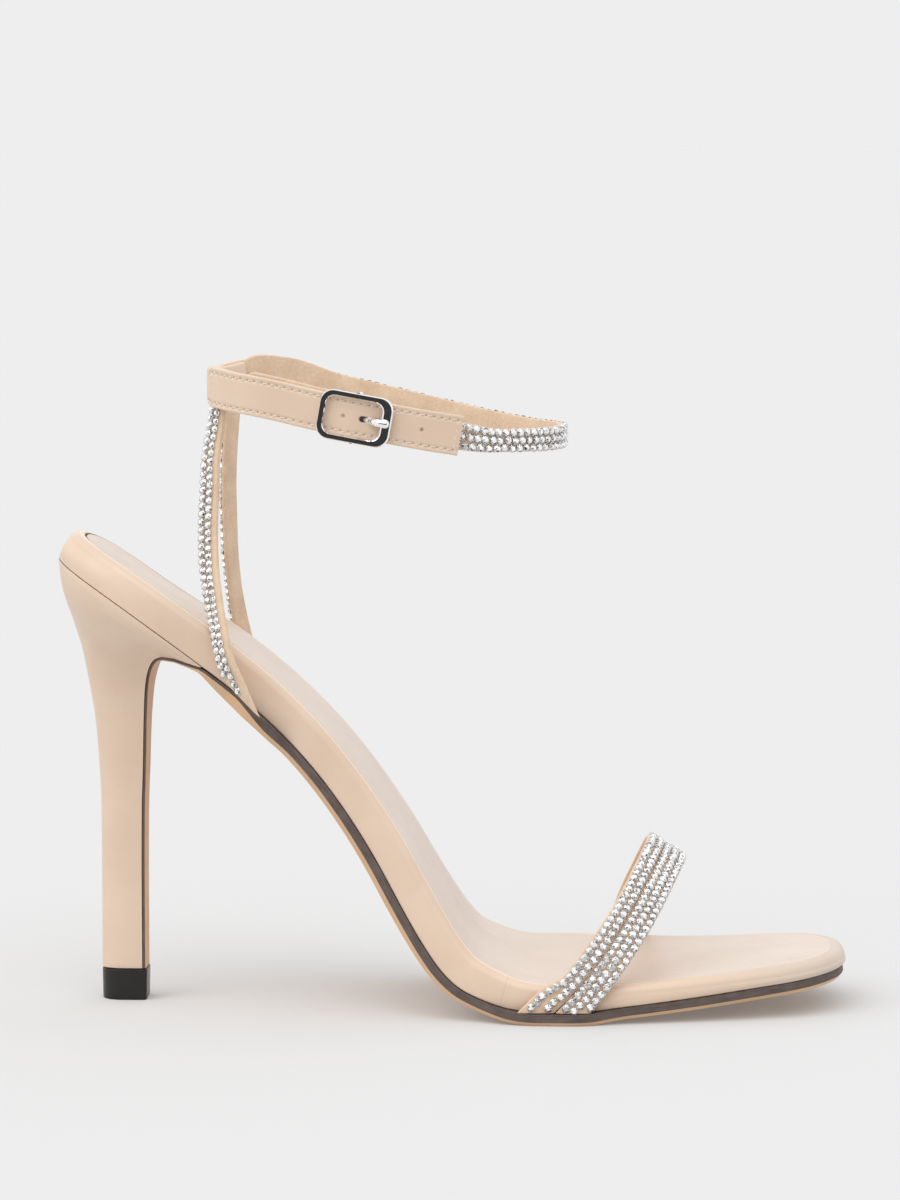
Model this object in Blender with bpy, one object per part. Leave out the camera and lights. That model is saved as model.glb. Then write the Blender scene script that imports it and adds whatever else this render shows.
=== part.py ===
"""Strappy stiletto sandal, right shoe, on an EU 38 last.

Frame in metres: +X to the toe, +Y to the medial side, +Z up, the origin under the middle of
the heel tip on the floor. The last is one curved line seen from the side; a place on the shoe
is a length along that line, a distance to the side and a height square to it.
"""

import math

import bmesh
import bpy
import numpy as np

mm = 0.001
gap = 0.3 * mm                     # clearance between pieces that touch on the real shoe

# Last and sole
footbed_length = 254.0 * mm        # along the underside, back of the seat to the toe tip
ball_width = 73.5 * mm
heel_height = 116.0 * mm           # floor to the underside of the footbed at its back edge
seat_overhang = 16.5 * mm          # the seat reaches this far behind the heel's middle
seat_round = 27.0 * mm             # length over which the back of the seat rounds off
toe_round = 20.0 * mm              # length over which the square toe rounds off
footbed_thick = 9.2 * mm           # at its thickest, under the arch
footbed_edge_radius = 2.4 * mm
rim_width = 0.8 * mm               # wrapped rim around the insole sock
sock_thick = 0.8 * mm
outsole_edge = 1.9 * mm            # upright painted edge
outsole_bevel = 0.9 * mm           # bare lower edge that turns under, at the ball
waist_bevel = 1.3 * mm             # the same under the arch
outsole_overhang = 0.3 * mm        # the outsole stands out past the wrapped wall
toe_setback = 0.9 * mm             # but lies this far behind it at the toe

# Heel
tip_depth = 12.1 * mm
tip_width = 10.6 * mm
tip_height = 8.0 * mm
stem_depth = 10.8 * mm
stem_width = 8.8 * mm
heel_seat_length = 47.0 * mm       # along the underside of the footbed
breast_flap_thick = 0.9 * mm       # the outsole runs down the front of the heel

# Vamp bands
vamp_height = 39.4 * mm            # middle of the bands' upper side, above the floor
vamp_middle_x = 141.0 * mm         # where the bands cross the middle of the foot
vamp_sweep = 32.0 * mm             # how far the lateral ends lie behind the middle
rear_band_width = 4.5 * mm
front_band_width = 6.6 * mm
band_edge_thick = 1.1 * mm
band_crown = 1.1 * mm
band_landing = 0.698 * footbed_length      # where the bands' middle enters the sole
medial_band_landing = 0.776 * footbed_length
landing_reach = 3.0 * mm           # the outsole bulges out this far where a strap enters

# Ankle strap
ankle_length = 90.0 * mm           # loop of the strap's middle, back to front
ankle_width = 51.0 * mm
ankle_back_x = 24.0 * mm
ankle_front_height = 148.0 * mm
ankle_drop = 15.5 * mm             # the front lies this much lower than the back
strap_width = 7.3 * mm
strap_thick = 2.2 * mm
plain_strap_thick = 1.2 * mm
plain_strap_width = 6.0 * mm       # inside the sleeve and on to the buckle
sleeve_height = 9.2 * mm
sleeve_drop = 0.3 * mm             # the sleeve hangs this much below the strap's middle
sleeve_wall = 1.0 * mm
quarter_width = 5.6 * mm
quarter_thick = 2.1 * mm
quarter_landing = 0.275 * footbed_length
medial_quarter_landing = 0.270 * footbed_length
quarter_stand_off = 1.9 * mm       # middle of the strap to the footbed's wall

# Billet and buckle
billet_width = 10.2 * mm
billet_thick = 1.5 * mm
prong_hole_place = 4.2 * mm        # ahead of the buckle's centre bar
prong_slot_length = 6.4 * mm
buckle_length = 18.8 * mm
buckle_height = 12.7 * mm
buckle_bar_left = 1.2 * mm
buckle_bar_right = 2.3 * mm
buckle_thick = 1.4 * mm
buckle_stand = 3.6 * mm            # the frame stands this far out from its centre bar
buckle_corner = 3.2 * mm
centre_bar_radius = 0.65 * mm
prong_radius = 0.6 * mm
keeper_wall = 0.8 * mm             # leather folded round the centre bar


def table(columns, rows):
    """A table as named columns, each an array."""
    return dict(zip(columns.split(), np.array(rows, dtype=float).T))


# Downward slope of the footbed's underside, in degrees, at shares of its length
profile_table = table("along slope", (
    (0.000, 27.0), (0.059, 32.0), (0.118, 35.3), (0.196, 37.0), (0.255, 41.5),
    (0.314, 46.8), (0.373, 53.0), (0.431, 57.5), (0.478, 60.5), (0.525, 58.5),
    (0.561, 54.0), (0.588, 43.0), (0.613, 25.0), (0.639, 18.0), (0.690, 0.0),
    (0.722, 0.0), (0.749, -8.5), (0.784, -6.0), (0.882, -7.0), (1.000, -7.5)))

# Half widths of the footbed, as shares of half the ball width
width_table = table("along lateral medial", (
    (0.000, 0.68, 0.66), (0.080, 0.69, 0.67), (0.130, 0.71, 0.69), (0.200, 0.695, 0.655),
    (0.295, 0.66, 0.60), (0.390, 0.70, 0.62), (0.490, 0.79, 0.72), (0.580, 0.90, 0.88),
    (0.660, 0.985, 0.985), (0.720, 1.00, 1.00), (0.770, 0.985, 0.98), (0.835, 0.905, 0.935),
    (0.895, 0.80, 0.86), (0.940, 0.72, 0.78), (1.000, 0.62, 0.68)))

# Thickness of the footbed, as shares of footbed_thick
thickness_table = table("along lateral medial", (
    (0.00, 0.935, 0.75), (0.10, 0.967, 0.73), (0.20, 0.990, 0.87), (0.27, 0.967, 0.935),
    (0.36, 0.920, 0.967), (0.52, 0.955, 1.000), (0.60, 0.940, 1.000), (0.66, 0.830, 0.967),
    (0.72, 0.685, 0.960), (0.77, 0.620, 0.810), (0.84, 0.540, 0.600), (0.92, 0.475, 0.480),
    (1.00, 0.440, 0.440)))

# Heel sections from the tip up to the seat. Each column runs from 0 at the tip to 1 at the
# seat: the back edge's place and height, the front edge's place and height, the half width
heel_table = table("up back_x back_z front_x front_z wide", (
    (0.00, 0.000, 0.000, 0.000, 0.000, 0.000), (0.18, 0.000, 0.200, 0.000, 0.270, 0.005),
    (0.34, 0.007, 0.405, 0.010, 0.520, 0.015), (0.44, 0.050, 0.503, 0.030, 0.645, 0.030),
    (0.52, 0.140, 0.611, 0.045, 0.760, 0.060), (0.59, 0.240, 0.674, 0.060, 0.835, 0.110),
    (0.65, 0.340, 0.729, 0.085, 0.905, 0.190), (0.71, 0.444, 0.780, 0.125, 0.952, 0.305),
    (0.77, 0.565, 0.822, 0.190, 0.990, 0.445), (0.82, 0.685, 0.860, 0.285, 1.015, 0.575),
    (0.87, 0.830, 0.902, 0.420, 1.025, 0.715), (0.92, 0.920, 0.934, 0.570, 1.024, 0.835),
    (0.96, 0.970, 0.967, 0.760, 1.014, 0.930), (1.00, 1.000, 1.000, 1.000, 1.000, 1.000)))

# Middle line between the two vamp bands: across as a share of the half span to either side,
# rise as a share of the height above the landing, behind as a share of the lateral sweep
vamp_table = table("across rise behind", (
    (-1.000, 0.000, 0.93), (-1.000, 0.115, 0.79), (-0.975, 0.320, 0.58), (-0.800, 0.617, 0.315),
    (-0.475, 0.868, 0.115), (-0.080, 1.000, 0.00), (0.320, 0.950, 0.01), (0.670, 0.750, 0.10),
    (0.890, 0.490, 0.23), (0.990, 0.220, 0.34), (1.000, 0.000, 0.40)))

# Height of the ankle strap round its loop, as shares of ankle_drop above its front.
# The turn is in degrees from the back, first along the lateral side
ankle_table = table("turn rise", (
    (0, 0.88), (20, 0.83), (35, 0.76), (50, 0.67), (70, 0.48), (90, 0.30), (110, 0.12),
    (130, -0.02), (150, -0.03), (180, 0.00), (210, 0.02), (230, 0.11), (250, 0.29),
    (270, 0.52), (290, 0.755), (310, 0.94), (325, 1.00), (340, 0.95), (360, 0.88)))

# Quarter strap from the sleeve, 0, down to the sole joint, 1: shares of the way down, forward
# and outward. The strap faces turn degrees from straight back and dip degrees downward
quarter_table = table("down ahead medial_ahead out medial_out turn medial_turn dip", (
    (0.000, 0.00, 0.00, 0.000, 0.000, 40, 32, 0), (0.073, -0.06, -0.07, 0.043, 0.043, 43, 32, 0),
    (0.170, -0.15, -0.14, 0.110, 0.110, 47, 33, 0), (0.286, -0.175, -0.19, 0.206, 0.210, 53, 33, 0),
    (0.400, -0.19, -0.19, 0.340, 0.350, 57, 33, 0), (0.516, -0.15, -0.18, 0.530, 0.560, 57, 33, 3),
    (0.618, -0.04, -0.14, 0.800, 0.860, 55, 34, 6), (0.700, 0.08, -0.08, 1.060, 1.130, 51, 36, 9),
    (0.766, 0.17, 0.00, 1.190, 1.260, 48, 39, 12), (0.836, 0.31, 0.13, 1.215, 1.290, 49, 44, 17),
    (0.900, 0.49, 0.34, 1.180, 1.250, 53, 52, 21), (0.954, 0.77, 0.64, 1.090, 1.120, 62, 62, 21),
    (1.000, 1.00, 1.00, 1.000, 1.000, 74, 74, 16)))

# Billet: how far its middle lies outside the ankle strap's middle, in strap thicknesses, at
# turns round the loop
billet_table = table("turn out", (
    (16, 1.34), (32, 1.34), (46, 1.05), (62, 0.80), (70, 0.82), (80, 1.27), (90, 0.82),
    (97, 0.84), (104, 1.00), (120, 1.00)))
billet_tip_turn = 19.0             # in degrees round the loop, from the back
billet_root_turn = 115.0
buckle_turn = 81.4
strap_end_turn = 106.0
sleeve_turns = (-30.0, 32.0)
quarter_turns = (19.0, -25.0)

# Where the straps enter between footbed and outsole: side, place, half length
landings = ((-1, band_landing, 15.5 * mm), (1, medial_band_landing, 15.5 * mm),
            (-1, quarter_landing - 2 * mm, 8.5 * mm), (1, medial_quarter_landing - 2 * mm, 8.5 * mm))


def smooth(knots, values, at):
    """Monotone cubic through the knots, so that a flat stretch stays exactly flat."""
    step = np.diff(knots)
    slope = np.diff(values) / step
    same_way = slope[:-1] * slope[1:] > 0
    before = np.where(same_way, slope[:-1], 1.0)
    after = np.where(same_way, slope[1:], 1.0)
    weight_before = 2 * step[1:] + step[:-1]
    weight_after = step[1:] + 2 * step[:-1]
    mean = (weight_before + weight_after) / (weight_before / before + weight_after / after)
    tangent = np.concatenate(([slope[0]], np.where(same_way, mean, 0.0), [slope[-1]]))
    return hermite(knots, values, tangent, at)


def hermite(knots, values, tangent, at):
    """Cubic with the given values and tangents at the knots."""
    step = np.diff(knots)
    cell = np.clip(np.searchsorted(knots, at, side="right") - 1, 0, len(step) - 1)
    width = step[cell]
    share = (at - knots[cell]) / width
    if values.ndim > 1:
        width, share = width[:, None], share[:, None]
    rest = 1 - share
    return (values[cell] * (1 + 2 * share) * rest ** 2
            + values[cell + 1] * (3 - 2 * share) * share ** 2
            + width * (tangent[cell] * share * rest ** 2 - tangent[cell + 1] * share ** 2 * rest))


def through(points, count):
    """Smooth open curve through points, with count points evenly spaced along it."""
    points = np.array(points, dtype=float)
    knots = np.concatenate(([0.0], np.cumsum(np.linalg.norm(np.diff(points, axis=0), axis=1))))
    tangent = np.gradient(points, knots, axis=0, edge_order=2)
    fine = hermite(knots, points, tangent, np.linspace(0, knots[-1], 12 * count))
    length = np.concatenate(([0.0], np.cumsum(np.linalg.norm(np.diff(fine, axis=0), axis=1))))
    even = np.linspace(0, length[-1], count)
    return np.stack([np.interp(even, length, column) for column in fine.T], axis=1)


def unit(vectors):
    return vectors / np.linalg.norm(vectors, axis=-1, keepdims=True)


class Side:
    """A line seen from the side, with a length along it and a slope at each place."""

    def __init__(self, x, z):
        step = np.hypot(np.diff(x), np.diff(z))
        self.along = np.concatenate(([0.0], np.cumsum(step)))
        self.x, self.z = x, z
        angle = np.unwrap(np.arctan2(-np.diff(z), np.diff(x)))
        joint = (angle[:-1] + angle[1:]) / 2
        self.angle = np.concatenate((angle[:1], joint, angle[-1:]))

    def place(self, along, side, height):
        """World points from lengths along, distances to the medial side and heights."""
        angle = np.interp(along, self.along, self.angle)
        x = np.interp(along, self.along, self.x) + height * np.sin(angle)
        z = np.interp(along, self.along, self.z) + height * np.cos(angle)
        return np.stack(np.broadcast_arrays(x, side, z), axis=-1)


def make_last(samples=600):
    """The footbed's underside: its slopes are steepened until the seat has its height."""
    share = np.linspace(0, 1, samples + 1)
    slope = np.radians(smooth(profile_table["along"], profile_table["slope"], share))
    sole = outsole_edge + outsole_bevel + gap
    step = footbed_length / samples
    low, high = 0.1, 1.45
    for _ in range(50):
        factor = (low + high) / 2
        angle = np.where(slope > 0, slope * factor, slope)
        middle = (angle[:-1] + angle[1:]) / 2
        z = np.concatenate(([0.0], np.cumsum(-np.sin(middle) * step)))
        if sole - z.min() < heel_height:
            low = factor
        else:
            high = factor
    x = np.concatenate(([0.0], np.cumsum(np.cos(middle) * step)))
    return Side(x - seat_overhang, z - z.min() + sole)


last = make_last()
flat_start, flat_end = profile_table["along"][14:16] * footbed_length


def thickness(along, side):
    """Thickness of the footbed at places on it: its top leans from one side to the other."""
    share = along / footbed_length
    lateral_wide, medial_wide = half_widths(along)
    across = (side + lateral_wide) / np.maximum(lateral_wide + medial_wide, mm)
    lateral = smooth(thickness_table["along"], thickness_table["lateral"], share)
    medial = smooth(thickness_table["along"], thickness_table["medial"], share)
    return footbed_thick * (lateral + (medial - lateral) * np.clip(across, 0, 1))


def round_off(share, power):
    return (1 - np.clip(share, 0, 1) ** power) ** (1 / power)


def half_widths(along):
    """Lateral and medial half widths of the footbed at lengths along it."""
    share = along / footbed_length
    ends = round_off(1 - along / seat_round, 2.1)
    ends = ends * round_off((along - footbed_length + toe_round) / toe_round, 2.5)
    half = ball_width / 2 * ends
    lateral = smooth(width_table["along"], width_table["lateral"], share) * half
    medial = smooth(width_table["along"], width_table["medial"], share) * half
    return lateral, medial


def landing(along, side):
    """How far the outsole reaches out where a strap enters on that side."""
    reach = np.zeros_like(along)
    for row_side, middle, half_length in landings:
        if row_side == side:
            offset = (along - middle) / half_length
            reach = reach + landing_reach * np.exp(-1.2 * offset ** 4)
    return reach


def stations(start):
    """Lengths along the footbed from start to the toe tip, closer where it rounds."""
    toe = footbed_length - toe_round
    quarter = np.linspace(0, math.pi / 2, 9)
    if start == 0:
        first = seat_round * (1 - np.cos(quarter))
    else:
        first = np.array([start])
    return np.concatenate((
        first,
        np.linspace(first[-1], flat_start, 30)[1:],
        np.linspace(flat_start, flat_end, 4)[1:],
        np.linspace(flat_end, toe, 10)[1:],
        toe + toe_round * np.sin(quarter[1:])))


def ring_of(along, lateral, medial):
    """Outline as a loop: out along the lateral side and back along the medial side."""
    inner = slice(1, -1) if lateral[0] == 0 else slice(0, -1)
    first = [(along[0], 0.0)] if lateral[0] == 0 else []
    out = list(zip(along[inner], -lateral[inner]))
    back = list(zip(along[inner], medial[inner]))[::-1]
    return np.array(first + out + [(along[-1], 0.0)] + back)


def inset(loop, distance):
    """Loop moved inwards by a distance, square to its own edge."""
    ahead = np.roll(loop, -1, axis=0) - loop
    behind = loop - np.roll(loop, 1, axis=0)
    tangent = unit(unit(ahead) + unit(behind))
    normal = np.stack([-tangent[:, 1], tangent[:, 0]], axis=1)
    return loop + normal * np.reshape(distance, (-1, 1))


def bridge(first, second, count):
    """Quads between two rings whose vertices start at first and second."""
    return [(first + i, first + (i + 1) % count, second + (i + 1) % count, second + i)
            for i in range(count)]


def strips(first, count, pointed):
    """Faces across a loop, from each lateral point to the medial point beside it."""
    faces = []
    start = 1 if pointed else 0
    left, right = start, count - 1
    if pointed:
        faces.append((first, first + left, first + right))
    while right - left > 2:
        faces.append((first + left, first + left + 1, first + right - 1, first + right))
        left, right = left + 1, right - 1
    faces.append((first + left, first + left + 1, first + right))
    return faces


def finish(name, vertices, faces, look):
    """One closed object with its faces outwards, smooth except at its real edges."""
    mesh = bpy.data.meshes.new(name)
    mesh.from_pydata([tuple(v) for v in vertices], [], faces)
    shape = bmesh.new()
    shape.from_mesh(mesh)
    bmesh.ops.triangulate(shape, faces=[f for f in shape.faces if len(f.verts) > 4])
    bmesh.ops.recalc_face_normals(shape, faces=shape.faces)
    shape.to_mesh(mesh)
    shape.free()
    mesh.shade_smooth()
    mesh.set_sharp_from_angle(angle=math.radians(38))
    mesh.materials.append(look)
    thing = bpy.data.objects.new(name, mesh)
    bpy.context.scene.collection.objects.link(thing)
    return thing


def shell_of_rings(name, rings, cap, look):
    """Closed solid from equal rings; cap gives the faces that close a ring."""
    count = len(rings[0])
    vertices = np.concatenate(rings)
    faces = []
    for i in range(len(rings) - 1):
        faces += bridge(i * count, (i + 1) * count, count)
    faces += cap(0) + cap((len(rings) - 1) * count)
    return finish(name, vertices, faces, look)


def combine(target, tool, operation):
    """Boolean of two closed objects, applied; the tool object is removed."""
    change = target.modifiers.new("Join", "BOOLEAN")
    change.operation, change.object, change.solver = operation, tool, "EXACT"
    bpy.context.view_layer.update()
    graph = bpy.context.evaluated_depsgraph_get()
    mesh = bpy.data.meshes.new_from_object(target.evaluated_get(graph))
    target.modifiers.clear()
    target.data = mesh
    bpy.data.objects.remove(tool)


def material(name, colour, roughness, metallic=0.0):
    look = bpy.data.materials.new(name)
    look.use_nodes = True
    shader = look.node_tree.nodes["Principled BSDF"]
    shader.inputs["Base Color"].default_value = (*colour, 1.0)
    shader.inputs["Roughness"].default_value = roughness
    shader.inputs["Metallic"].default_value = metallic
    return look


def make_footbed(look):
    along = stations(0)
    loop = ring_of(along, *half_widths(along))
    thick = thickness(loop[:, 0], loop[:, 1])
    radius = footbed_edge_radius
    rings = []

    def add(distance, height):
        moved = inset(loop, distance)
        rings.append(last.place(moved[:, 0], moved[:, 1], height))

    add(0.6 * mm, 0 * thick)
    add(0.0, 0.6 * mm + 0 * thick)
    add(-0.2 * mm, 0.45 * thick)
    add(0.0, thick - radius)
    for turn in np.radians((30, 60, 90)):
        add(radius * (1 - math.cos(turn)), thick - radius + radius * math.sin(turn))
    add(footbed_edge_radius + rim_width, thick)
    add(footbed_edge_radius + rim_width, thick - sock_thick - gap)
    return shell_of_rings("footbed", rings, lambda i: strips(i, len(loop), True), look)


def make_sock(look):
    along = stations(0)
    loop = ring_of(along, *half_widths(along))
    thick = thickness(loop[:, 0], loop[:, 1])
    edge = footbed_edge_radius + rim_width + gap
    rings = []
    for distance, height in ((edge, -sock_thick), (edge, -0.25 * sock_thick),
                             (edge + 0.3 * mm, 0.0)):
        moved = inset(loop, distance)
        rings.append(last.place(moved[:, 0], moved[:, 1], thick + height))
    return shell_of_rings("insole_sock", rings, lambda i: strips(i, len(loop), True), look)


def heel_fan(count=26):
    """Back edges, front edges and half widths of the heel's sections, tip to seat."""
    seat_back = last.place(0.0, 0.0, -gap)
    seat_front = last.place(heel_seat_length, 0.0, -gap)
    lateral, medial = half_widths(np.array([heel_seat_length]))
    foot = tip_height + gap
    back_x = -tip_depth / 2
    ends = {"back_x": (back_x, seat_back[0]), "back_z": (foot, seat_back[2]),
            "front_x": (back_x + stem_depth, seat_front[0]), "front_z": (foot, seat_front[2]),
            "wide": (stem_width / 2, (lateral[0] + medial[0]) / 2)}
    at = np.linspace(0, 1, count) ** 0.8
    fan = {}
    for name, (low, high) in ends.items():
        fan[name] = low + (high - low) * smooth(heel_table["up"], heel_table[name], at)
    return fan


def make_heel(look):
    along = np.concatenate((seat_round * (1 - np.cos(np.linspace(0, math.pi / 2, 9))),
                            np.linspace(seat_round, heel_seat_length, 4)[1:]))
    lateral, medial = half_widths(along)
    share = np.concatenate((along, along[:0:-1])) / heel_seat_length
    side = np.concatenate((-lateral, medial[:0:-1]))
    fan = heel_fan()
    wide = side / fan["wide"][-1]
    rings = []
    for i in range(len(fan["wide"]) - 1):
        x = fan["back_x"][i] + (fan["front_x"][i] - fan["back_x"][i]) * share
        z = fan["back_z"][i] + (fan["front_z"][i] - fan["back_z"][i]) * share
        rings.append(np.stack([x, wide * fan["wide"][i], z], axis=1))
    rings.append(last.place(share * heel_seat_length, side, -gap))
    count = len(share)

    def cap(first):
        faces = [(first, first + 1, first + count - 1)]
        for i in range(1, count // 2):
            faces.append((first + i, first + i + 1, first + count - i - 1, first + count - i))
        return faces

    return shell_of_rings("heel", rings, cap, look)


def make_heel_tip(look):
    turn = np.linspace(-math.pi / 2, math.pi / 2, 13)
    nose = tip_width / 2
    back = np.stack([-tip_depth / 2 + nose * (1 - np.cos(turn)), nose * np.sin(turn)], axis=1)
    front = tip_depth / 2 - 0.8 * mm
    corner = np.array([(front, nose), (tip_depth / 2, nose - 0.8 * mm),
                       (tip_depth / 2, -nose + 0.8 * mm), (front, -nose)])
    loop = np.concatenate((back, corner))
    rings = []
    for grow, height in ((0.94, 0.0), (0.97, 0.5 * mm), (1.0, tip_height - 0.4 * mm),
                         (0.98, tip_height)):
        rings.append(np.stack([loop[:, 0] * grow, loop[:, 1] * grow,
                               np.full(len(loop), height)], axis=1))
    count = len(loop)
    return shell_of_rings("heel_tip", rings, lambda i: [tuple(range(i, i + count))], look)


def make_outsole(look):
    """Sole from the toe back under the waist and down the front of the heel."""
    fan = heel_fan()
    front = np.stack([fan["front_x"], fan["front_z"]], axis=1)[:-1]
    rest = stations(heel_seat_length + 1.5 * mm)
    sole = last.place(rest, 0.0, -gap)[:, [0, 2]]
    line = np.concatenate((front, sole))
    edge = unit(np.diff(line, axis=0))
    edge = unit(np.concatenate((edge[:1], edge[:-1] + edge[1:], edge[-1:])))
    away = np.stack([-edge[:, 1], edge[:, 0]], axis=1)
    line[:len(front)] -= away[:len(front)] * 1.4 * gap
    side_line = Side(line[:, 0], line[:, 1])
    lateral, medial = half_widths(rest)
    grow = outsole_overhang * (lateral > 0)
    lateral = np.concatenate((fan["wide"][:-1], lateral + grow + landing(rest, -1) * (lateral > 0)))
    medial = np.concatenate((fan["wide"][:-1], medial + grow + landing(rest, 1) * (medial > 0)))
    along = side_line.along
    loop = ring_of(along, lateral, medial)
    joint = along[len(front)]
    flap = np.clip((joint + 12 * mm - loop[:, 0]) / (20 * mm), 0, 1)
    flap = flap * flap * (3 - 2 * flap)
    waist = np.clip((joint + 165 * mm - heel_seat_length - loop[:, 0]) / (45 * mm), 0, 1)
    bevel = outsole_bevel + (waist_bevel - outsole_bevel) * waist * waist * (3 - 2 * waist)
    flap_bevel = breast_flap_thick / 3
    edge_deep = outsole_edge + (breast_flap_thick - flap_bevel - outsole_edge) * flap
    bevel_deep = bevel + (flap_bevel - bevel) * flap
    toe = np.clip(1 - (along[-1] - loop[:, 0]) / (1.5 * toe_round), 0, 1) * toe_setback
    rings = []
    for distance, height in ((toe, 0 * flap), (toe, -edge_deep),
                             (toe + bevel_deep, -edge_deep - bevel_deep)):
        moved = inset(loop, distance)
        moved[[0, -1], 0] = loop[[0, -1], 0]
        rings.append(side_line.place(moved[:, 0], moved[:, 1], height))
    return shell_of_rings("outsole", rings, lambda i: strips(i, len(loop), False), look)


def ribbon_rings(centre, across, outward, profile):
    """Rings of a strap: its profile, in across and outward, carried along the centre line."""
    profile = np.broadcast_to(profile, (len(centre), *np.shape(profile)[-2:]))
    return (centre[:, None, :] + profile[:, :, :1] * across[:, None, :]
            + profile[:, :, 1:] * outward[:, None, :])


def flat_profile(width, thick, edge=0.35 * mm):
    """Flat strap with eased edges, its middle at the centre line."""
    w, t = width / 2, thick / 2
    e = min(edge, 0.45 * thick)
    return np.array([(-w + e, -t), (w - e, -t), (w, -t + e), (w, t - e),
                     (w - e, t), (-w + e, t), (-w, t - e), (-w, -t + e)])


def domed_profile(width):
    """Band that is flat inside and crowned outside."""
    w = width / 2
    points = [(-w, 0.0), (w, 0.0)]
    for share in (1.0, 0.82, 0.5, 0.0, -0.5, -0.82, -1.0):
        points.append((share * w, band_edge_thick + band_crown * (1 - share * share) ** 0.5))
    return np.array(points)


def trimmed(rings, tangent, origin, normal, from_start):
    """Rings above a plane, with one more laid on the plane itself at that end."""
    if not from_start:
        return trimmed(rings[::-1], tangent[::-1], origin, normal, True)[::-1]
    height = (rings - origin) @ normal
    first = int(np.argmax(height.min(axis=1) > 0.5 * mm))
    along = height[first] / (tangent[first] @ normal)
    foot = rings[first] - along[:, None] * tangent[first]
    return np.concatenate((foot[None], rings[first:]))


def end_caps(count):
    return lambda first: [tuple(range(first, first + count))]


def sole_plane(along):
    """A point and the upward direction of the footbed's underside."""
    origin = last.place(along, 0.0, 0.15 * mm)
    return origin, last.place(along, 0.0, 1.0) - last.place(along, 0.0, 0.0)


def vamp_line(count=44):
    """Line between the two bands with its across, outward and tangent directions."""
    lateral = half_widths(np.array([band_landing]))[0][0]
    medial = half_widths(np.array([medial_band_landing]))[1][0]
    landing_x, _, landing_z = last.place(band_landing, 0.0, 0.0)
    span = np.where(vamp_table["across"] < 0, lateral, medial) + gap + 0.7 * mm
    points = np.stack([
        vamp_middle_x - (vamp_middle_x - landing_x) * vamp_table["behind"],
        span * vamp_table["across"],
        landing_z + (vamp_height - landing_z) * vamp_table["rise"]], axis=1)
    below = 7 * mm
    points = np.concatenate((points[:1] + unit(points[0] - points[1]) * below, points,
                             points[-1:] + unit(points[-1] - points[-2]) * below))
    centre = through(points, count)
    tangent = unit(np.gradient(centre, axis=0))
    share = np.linspace(0, 1, count)[:, None]
    lean = np.radians(40 - 13 * share)
    guide = np.concatenate((np.cos(lean), 0 * lean, -np.sin(lean)), axis=1)
    across = unit(guide - tangent * np.sum(guide * tangent, axis=1, keepdims=True))
    return centre, across, np.cross(across, tangent), tangent


def make_band(name, offset, width, look):
    centre, across, outward, tangent = vamp_line()
    rings = ribbon_rings(centre + offset * across, across, outward, domed_profile(width))
    rings = trimmed(rings, tangent, *sole_plane(band_landing), True)
    rings = trimmed(rings, np.concatenate((tangent[:1], tangent))[-len(rings):],
                    *sole_plane(medial_band_landing), False)
    return shell_of_rings(name, list(rings), end_caps(rings.shape[1]), look)


def ankle(turn):
    """Place on the ankle strap's middle with its forward, upward and outward directions."""
    wrapped = np.concatenate((ankle_table["turn"][-4:-1] - 360, ankle_table["turn"],
                              ankle_table["turn"][1:4] + 360))
    rises = np.concatenate((ankle_table["rise"][-4:-1], ankle_table["rise"],
                            ankle_table["rise"][1:4]))

    def spot(turn):
        radians = np.radians(turn)
        x = ankle_back_x + ankle_length / 2 * (1 - np.cos(radians))
        y = -ankle_width / 2 * np.sin(radians)
        rise = smooth(wrapped, rises, np.mod(turn, 360))
        return np.stack([x, y, ankle_front_height + ankle_drop * rise], axis=-1)

    turn = np.atleast_1d(np.asarray(turn, dtype=float))
    forward = unit(spot(turn + 0.5) - spot(turn - 0.5))
    up = np.array([0.0, 0.0, 1.0])
    up = unit(up - forward * forward[:, 2:])
    return spot(turn), forward, up, np.cross(forward, up)


def buckle_place(ahead, up, out):
    """World points in the buckle's own flat frame, which starts at its centre bar."""
    spot, forward, upward, outward = (part[0] for part in ankle(buckle_turn))
    ahead, up, out = (np.asarray(part, dtype=float)[..., None] for part in (ahead, up, out))
    return spot + ahead * forward + up * upward + out * outward


def make_sleeve(look):
    """Leather tunnel round the back of the ankle strap."""
    centre, _, up, outward = ankle(np.linspace(*sleeve_turns, 19))
    inner = flat_profile(plain_strap_width + 2 * gap, plain_strap_thick + 2 * gap, 0.2 * mm)
    outer = flat_profile(sleeve_height, plain_strap_thick + 2 * gap + 2 * sleeve_wall, 0.7 * mm)
    outer[:, 0] -= sleeve_drop
    rings = [ribbon_rings(centre, up, outward, outer), ribbon_rings(centre, up, outward, inner)]
    rings = np.concatenate((rings[0], rings[1][::-1]))
    count, total = rings.shape[1], len(rings)
    faces = []
    for i in range(total):
        faces += bridge(i * count, (i + 1) % total * count, count)
    return finish("quarter_straps", rings.reshape(-1, 3), faces, look)


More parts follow.
